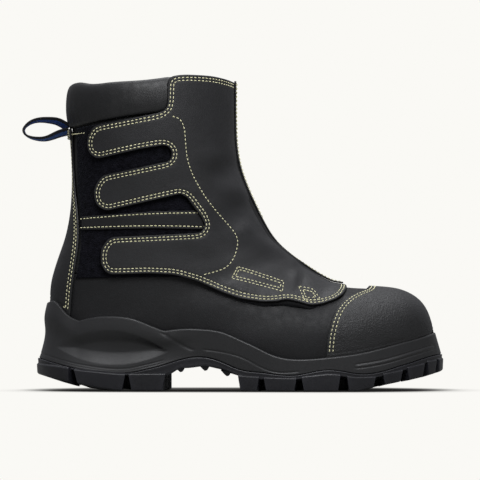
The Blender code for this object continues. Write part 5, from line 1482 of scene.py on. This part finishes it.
def make_midsole():
    ring, out = perimeter()
    x = ring[:, 0]
    n = len(ring)
    sole_x = edge_x(x, SOLE_EDGE)
    feather = feather_height(x)
    boundary = smooth_at(BOUNDARY_LINE, sole_x)
    lip = smooth_at(LIP_LINE, edge_x(x, LIP_EDGE), ((-120, 53.2), (-53.8, 45.6)))
    lip_x = edge_x(x, LIP_INSIDE)
    floor = feather - BOARD_TOP - BOARD_THICK - 0.4
    heel = smooth_step((-x - 20) / 40)
    side = np.where(ring[:, 1] > 0, 1, -1)

    def on_leather(share, offset):
        z = feather + 0.3 + (lip - feather - 0.3) * share
        across = x + (lip_x - x) * share
        at = np.empty((n, 2))
        for s in (-1, 1):
            at[side == s] = locate(np.stack([across, z], axis=1)[side == s], s)
        row = offset_surface(at[:, 0], at[:, 1], offset)
        row[:, 2] = z
        for k in (0, n // 2):
            row[k, 1] = swing(x[k])
        for _ in range(3):
            row[:, :2] = (np.roll(row, 1, axis=0) + row * 2 + np.roll(row, -1, axis=0))[:, :2] / 4
        return row

    def clear(angle, turn):
        return 1.0 + 0.8 * smooth_step((-surface(angle, turn)[..., 0] - 20) / 40)

    inner_rows = [on_leather(share, 0.45) for share in (0.93, 0.6, 0.25)]
    lip_inner = on_leather(1.0, clear)
    lip_outer = lip_inner + np.column_stack([out * 2.9, np.zeros(n)])
    spread = spread_of(out)
    bottom = in_plan(ring, out, spread, boundary)
    hollow = spline_through([(0, 0), (0.18, -1.5), (0.35, -2.1), (0.62, -0.7), (0.85, 0.5), (1, 0)], 10)
    inset = [x + d * out[:, 0] for d in (-8.0, -9.0)]
    rows = [in_plan(ring, out, -8.0, inner_boundary(inset[0])), in_plan(ring, out, spread - 1.6, boundary),
            in_plan(ring, out, spread - 0.5, boundary + 0.02)]
    for share in np.concatenate([[0.008], np.linspace(0.03, 0.97, 60)]):
        row = bottom + (lip_outer - bottom) * share
        bend = np.interp(share, *hollow.T) * heel
        fade = smooth_step(share / 0.04) * smooth_step((1 - share) / 0.08)
        bend = bend + sculpted(row[:, 0], row[:, 2], row[:, 2] - boundary) * fade
        bend = bend - 0.35 * (1 - smooth_step(share / 0.02))
        row[:, :2] += out * bend[:, None]
        rows.append(row)
    for step in np.linspace(0, 1, 9):
        turn = math.pi * step
        row = lip_inner.copy()
        row[:, :2] += out * (1.45 + 1.45 * math.cos(turn))
        row[:, 2] += 1.25 * math.sin(turn)
        rows.append(row)
    rows += inner_rows + [in_plan(ring, out, 0.6, floor)]
    made = ringed("midsole_moulded", rows, "midsole_rubber")
    attach(made, "boot", ["midsole"])


def make_outsole():
    ring, out = perimeter()
    x = ring[:, 0]
    sole_x = edge_x(x, SOLE_EDGE)
    boundary, plate = smooth_at(BOUNDARY_LINE, sole_x), smooth_at(PLATE_LINE, sole_x)
    spread = spread_of(out) + 0.8
    inset = [x + d * out[:, 0] for d in (-8.0, -9.0)]
    top = boundary - 0.35
    rows = [in_plan(ring, out, -8.0, inner_boundary(inset[0]) - 0.35)]
    for back, down in ((1.4, 0.0), (0.55, 0.05), (0.15, 0.3), (0.0, 0.75)):
        rows.append(in_plan(ring, out, spread - back, top - down))
    for share in (0.25, 0.5, 0.75):
        hollow = 0.25 * math.sin(math.pi * share)
        rows.append(in_plan(ring, out, spread - hollow, top - 0.75 + (plate + 0.5 - top + 0.75) * share))
    for back, up in ((0.05, 0.5), (0.25, 0.15), (0.8, 0.0)):
        rows.append(in_plan(ring, out, spread - back, plate + up))
    rows.append(in_plan(ring, out, -9.0, plate_under(inset[1])))
    plate_piece = ringed("outsole_plate", rows, "outsole_rubber")
    attach(plate_piece, "boot", ["outsole"])
    make_lugs(ring, out, spread)


def make_lugs(ring, out, spread):
    """The tread: blocks round the edge, blocks down the middle and ribs under the arch, with their edges rounded."""
    packed = even(np.column_stack([ring, out, spread]), 0.5)
    edge = packed[:, :2] + packed[:, 2:4] * packed[:, 4:5]
    sole_x = edge_x(packed[:, 0], SOLE_EDGE)
    made = bmesh.new()

    def block(sections):
        rows = [[made.verts.new(Vector(p) * MM) for p in row] for row in sections]
        n, faces = len(rows[0]), []
        for a, b in zip(rows[:-1], rows[1:]):
            for j in range(n):
                faces.append(made.faces.new((a[j], a[(j + 1) % n], b[(j + 1) % n], b[j])))
        faces += [made.faces.new(rows[0]), made.faces.new(rows[-1][::-1])]
        bmesh.ops.recalc_face_normals(made, faces=faces)
        made.normal_update()
        edges = [e for f in faces for e in f.edges if len(e.link_faces) == 2 and e.calc_face_angle(0) > 0.5]
        bmesh.ops.bevel(made, geom=list(dict.fromkeys(edges)), offset=0.55 * MM, segments=2, profile=0.5, affect="EDGES")

    def edge_lug(picked, depth, steps=6, taper=1.6):
        chosen = picked[np.linspace(0, len(picked) - 1, steps + 1).round().astype(int)]
        sections = []
        for j, k in enumerate(chosen):
            (px, py), nx = edge[k], packed[k, 2:4]
            py += swing(packed[k, 0])
            up, down = line_at(PLATE_LINE, sole_x[k]), line_at(GROUND_LINE, sole_x[k])
            along = edge[chosen[-1]] - edge[chosen[0]]
            along = along / np.linalg.norm(along) * taper * (2 * j / steps - 1)
            inner = px - nx[0] * depth
            deep, root = line_at(GROUND_LINE, inner), plate_under(inner) + 1.2
            def at(back, height, widen):
                return (px - nx[0] * back + along[0] * widen, py - nx[1] * back + along[1] * widen, height)
            sections.append([at(1.2, up + 2.2, 1), at(-0.85, up + 0.7, 1), at(-0.5, down + 0.9, 0.1),
                             at(0.5, down, 0), at(depth, deep, 0), at(depth, root, 1)])
        block(sections)

    for side in (-1, 1):
        for low, high in LUG_RANGES + HEEL_LUG_RANGES:
            within = (edge[:, 0] >= low) & (edge[:, 0] <= high)
            picked = np.where((np.sign(edge[:, 1]) == side) & within)[0]
            depth = 26 if high < -50 else 19 if low < 130 else 13 if low < 150 else 8
            edge_lug(picked[np.argsort(edge[picked, 0])], depth, taper=2.8 if high < -50 else 2.1)
    toe = np.where(edge[:, 0] > TOE_LUG_FROM)[0]
    edge_lug(toe[np.argsort(edge[toe, 1])], 8, 8)
    heel = np.where(edge[:, 0] < HEEL_LUG_TO)[0]
    edge_lug(heel[np.argsort(edge[heel, 1])], 17, 22, taper=2.8)
    for low, high, half in CENTRE_LUGS + [(-112, -64, 7.5)]:
        y = swing(np.array([low, high]))
        top, ground = plate_under(np.array([low, high])) + 1.2, line_at(GROUND_LINE, (low, high))
        block([[(px + d, yy - half - 1, t), (px, yy - half, g), (px, yy + half, g), (px + d, yy + half + 1, t)]
               for px, d, yy, t, g in zip((low, high), (-1.5, 1.5), y, top, ground)])
    for px in ARCH_RIBS:
        z = plate_under(px)
        block([[(px - 5.0, y, z + 1.4), (px - 2.2, y, z - 1.6), (px - 0.3, y, z - 3.3), (px + 1.6, y, z - 2.8),
                (px + 4.2, y, z + 1.4)] for y in (-39.5, 0, 39.5)])
    for k in range(7):  # the ribbed front of the heel, which slants across
        y, px = -37 + 12.4 * k, -53.4 + 0.95 * k
        block([[(px - 14, y - 4.4, z), (px, y - 3.2, z), (px, y + 3.2, z), (px - 14, y + 4.4, z)] for z in (0.1, 14.5)])
    mesh = bpy.data.meshes.new("outsole_lugs")
    bmesh.ops.recalc_face_normals(made, faces=made.faces)
    made.verts.index_update()
    faces = [[v.index for v in f.verts] for f in made.faces]
    places = [v.co[:] for v in made.verts]
    made.free()
    # The bevel leaves its faces in an order that changes from run to run, so they are put in one that doesn't.
    faces = sorted(f[f.index(min(f)) :] + f[: f.index(min(f))] for f in faces)
    mesh.from_pydata(places, [], faces)
    mesh.polygons.foreach_set("use_smooth", [True] * len(faces))
    lugs = bpy.data.objects.new("outsole_lugs", mesh)
    bpy.context.scene.collection.objects.link(lugs)
    mesh.materials.append(FINISHES["outsole_rubber"])
    lugs.modifiers.new("flat_faces", "WEIGHTED_NORMAL").keep_sharp = True
    attach(lugs, "boot")


def make_footbed():
    ring, out = perimeter(90)
    x = ring[:, 0]
    feather = feather_height(x)
    rows = [in_plan(ring, out, -9.6, feather + 0.2), in_plan(ring, out, -8.9, feather + 1.0),
            in_plan(ring, out, -8.8, feather + 3.0), in_plan(ring, out, -9.1, feather + 4.1)]
    edge = in_plan(ring, out, -9.8, feather + 4.6)
    middle = np.column_stack([np.clip(x, -100, 118), swing(np.clip(x, -100, 118)), edge[:, 2]])
    middle[:, 2] = feather_height(middle[:, 0]) + 4.0
    for share in (0.0, 0.06, 0.14, 0.25, 0.4, 0.6, 0.8, 0.97):
        row = edge + (middle - edge) * share
        row[:, 2] = feather_height(row[:, 0]) + 4.6 - 0.9 * math.sin(min(share / 0.25, 1) * math.pi / 2)
        row[:, 2] += 0.12 * waves(row, 9.0, 7)
        rows.append(row)
    made = ringed("footbed_padded", rows, "footbed_foam")
    attach(made, "boot", ["footbed"])


# ---------------------------------------------------------------- everything; the KEPT nodes show as the CAD has them
make_base()
make_tongue()
make_overlays()
make_flap()
make_front()
make_guard()
make_collar()
make_pull_loop()
make_midsole()
make_outsole()
make_footbed()
KEPT = {
    "collar_foam": "padding_foam", "steel_toe_cap": "bright_steel", "heel_counter": "fibre_board",
    "insole_board": "fibre_board", "steel_shank": "bright_steel",
}
for node, finish in KEPT.items():
    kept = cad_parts[node]
    kept.data.materials.clear()
    kept.data.materials.append(FINISHES[finish])

# ---------------------------------------------------------------- stage, light and camera
PAPER = (0.956, 0.947, 0.913)  # linear colour of the surroundings
SKY_LOW, SKY_HIGH = 0.11, 0.55  # strength of the sky that lights the boot, below and overhead
SHADE_REACH, SHADE_FROM, SHADE_LEFT = 0.05, 0.1, 0.1  # contact shade: metres, openness where it is full, light left
CAST_MIDDLE, CAST_HALF = (0.006, 0.024), (0.160, 0.078)  # the soft shadow's middle and half size on the floor
CAST_FULL, CAST_END, CAST_DARK = 0.72, 1.25, 0.87  # shares of that size where it starts to fade and ends, its depth
AWAY = 5.0  # metres from the camera to the boot
LENS_EACH = 211.5 / 2.2  # mm of focal length for each of these metres
STUDIO_WHITE = (0.97, 0.98, 1.0)
scene = bpy.context.scene
scene.view_settings.view_transform = "Standard"
world = bpy.data.worlds.new("studio")
world.use_nodes = True
sky_tree = world.node_tree
seen = sky_tree.nodes["Background"]
seen.inputs["Color"].default_value = (*PAPER, 1)
seen.inputs["Strength"].default_value = 1.0
place = linked(sky_tree, "TexCoord").outputs["Generated"]
up = linked(sky_tree, "SeparateXYZ", [("Vector", place)]).outputs["Z"]
glow = ranged(sky_tree, up, -0.3, 0.9, SKY_LOW, SKY_HIGH)
felt = linked(sky_tree, "Background", [("Color", (0.94, 0.95, 1.0, 1)), ("Strength", glow)]).outputs["Background"]
straight = linked(sky_tree, "LightPath").outputs["Is Camera Ray"]
both = linked(sky_tree, "MixShader", [(0, straight), (1, felt), (2, seen.outputs["Background"])]).outputs["Shader"]
sky_tree.links.new(both, sky_tree.nodes["World Output"].inputs["Surface"])
scene.world = world

made, tree = nodes_of("paper_floor")
place = linked(tree, "TexCoord").outputs["Object"]
grain = noise_of(tree, place, 900.0, 3.0)
open_sky = linked(tree, "AmbientOcclusion", [("Distance", SHADE_REACH)], samples=12).outputs["AO"]
lit = ranged(tree, ranged(tree, open_sky, SHADE_FROM, 0.97), 0.0, 1.0, SHADE_LEFT)
apart = linked(tree, "SeparateXYZ", [("Vector", place)])


def maths(a, operation, b):
    return linked(tree, "Math", [(0, a), (1, b)], operation=operation).outputs["Value"]


along, across = (maths(maths(apart.outputs[axis], "ADD", -middle), "DIVIDE", half)
                 for axis, middle, half in zip("XY", CAST_MIDDLE, CAST_HALF))
from_middle = maths(maths(maths(along, "POWER", 4.0), "ADD", maths(across, "MULTIPLY", across)), "POWER", 0.5)
cast = ranged(tree, from_middle, CAST_END, CAST_FULL, interpolation_type="SMOOTHSTEP")
lit = maths(lit, "MULTIPLY", maths(1.0, "SUBTRACT", maths(cast, "MULTIPLY", CAST_DARK)))
paper = linked(tree, "Emission", [("Color", (*PAPER, 1)), ("Strength", lit)]).outputs["Emission"]
tone = mixed(tree, grain, (0.26, 0.26, 0.25, 1), (0.28, 0.28, 0.27, 1))
matt = linked(tree, "BsdfDiffuse", [("Color", tone)]).outputs["BSDF"]
straight = linked(tree, "LightPath").outputs["Is Camera Ray"]
both = linked(tree, "MixShader", [(0, straight), (1, matt), (2, paper)]).outputs["Shader"]
tree.links.new(both, tree.nodes["Material Output"].inputs["Surface"])
tree.nodes.remove(tree.nodes["Principled BSDF"])
bpy.ops.mesh.primitive_plane_add(size=24, location=(0, 0, -0.0004))
floor = bpy.context.object
floor.name = "floor"
floor.data.materials.append(made)


def soft_light(name, place, aim, size, power):
    lamp = bpy.data.lights.new(name, "AREA")
    lamp.shape, lamp.size, lamp.energy, lamp.color = "DISK", size, power, STUDIO_WHITE
    held = bpy.data.objects.new(name, lamp)
    held.location = place
    held.visible_camera = False
    held.rotation_euler = (Vector(aim) - Vector(place)).to_track_quat("-Z", "Y").to_euler()
    scene.collection.objects.link(held)


soft_light("key", (0.0, -0.8, 1.05), (0, 0, 0.12), 0.9, 3.6)
soft_light("shaft", (0.03, -0.50, 0.50), (-0.02, 0, 0.22), 0.3, 2.0)
soft_light("top", (0.0, 0.3, 1.2), (0, 0, 0.1), 0.9, 6.5)

lens_data = bpy.data.cameras.new("camera")
lens_data.sensor_width, lens_data.lens = 36.0, LENS_EACH * AWAY
camera = bpy.data.objects.new("camera", lens_data)
camera.location = (0.006, -AWAY, 0.117)
camera.rotation_euler = (math.radians(90), 0, 0)
scene.collection.objects.link(camera)
scene.camera = camera
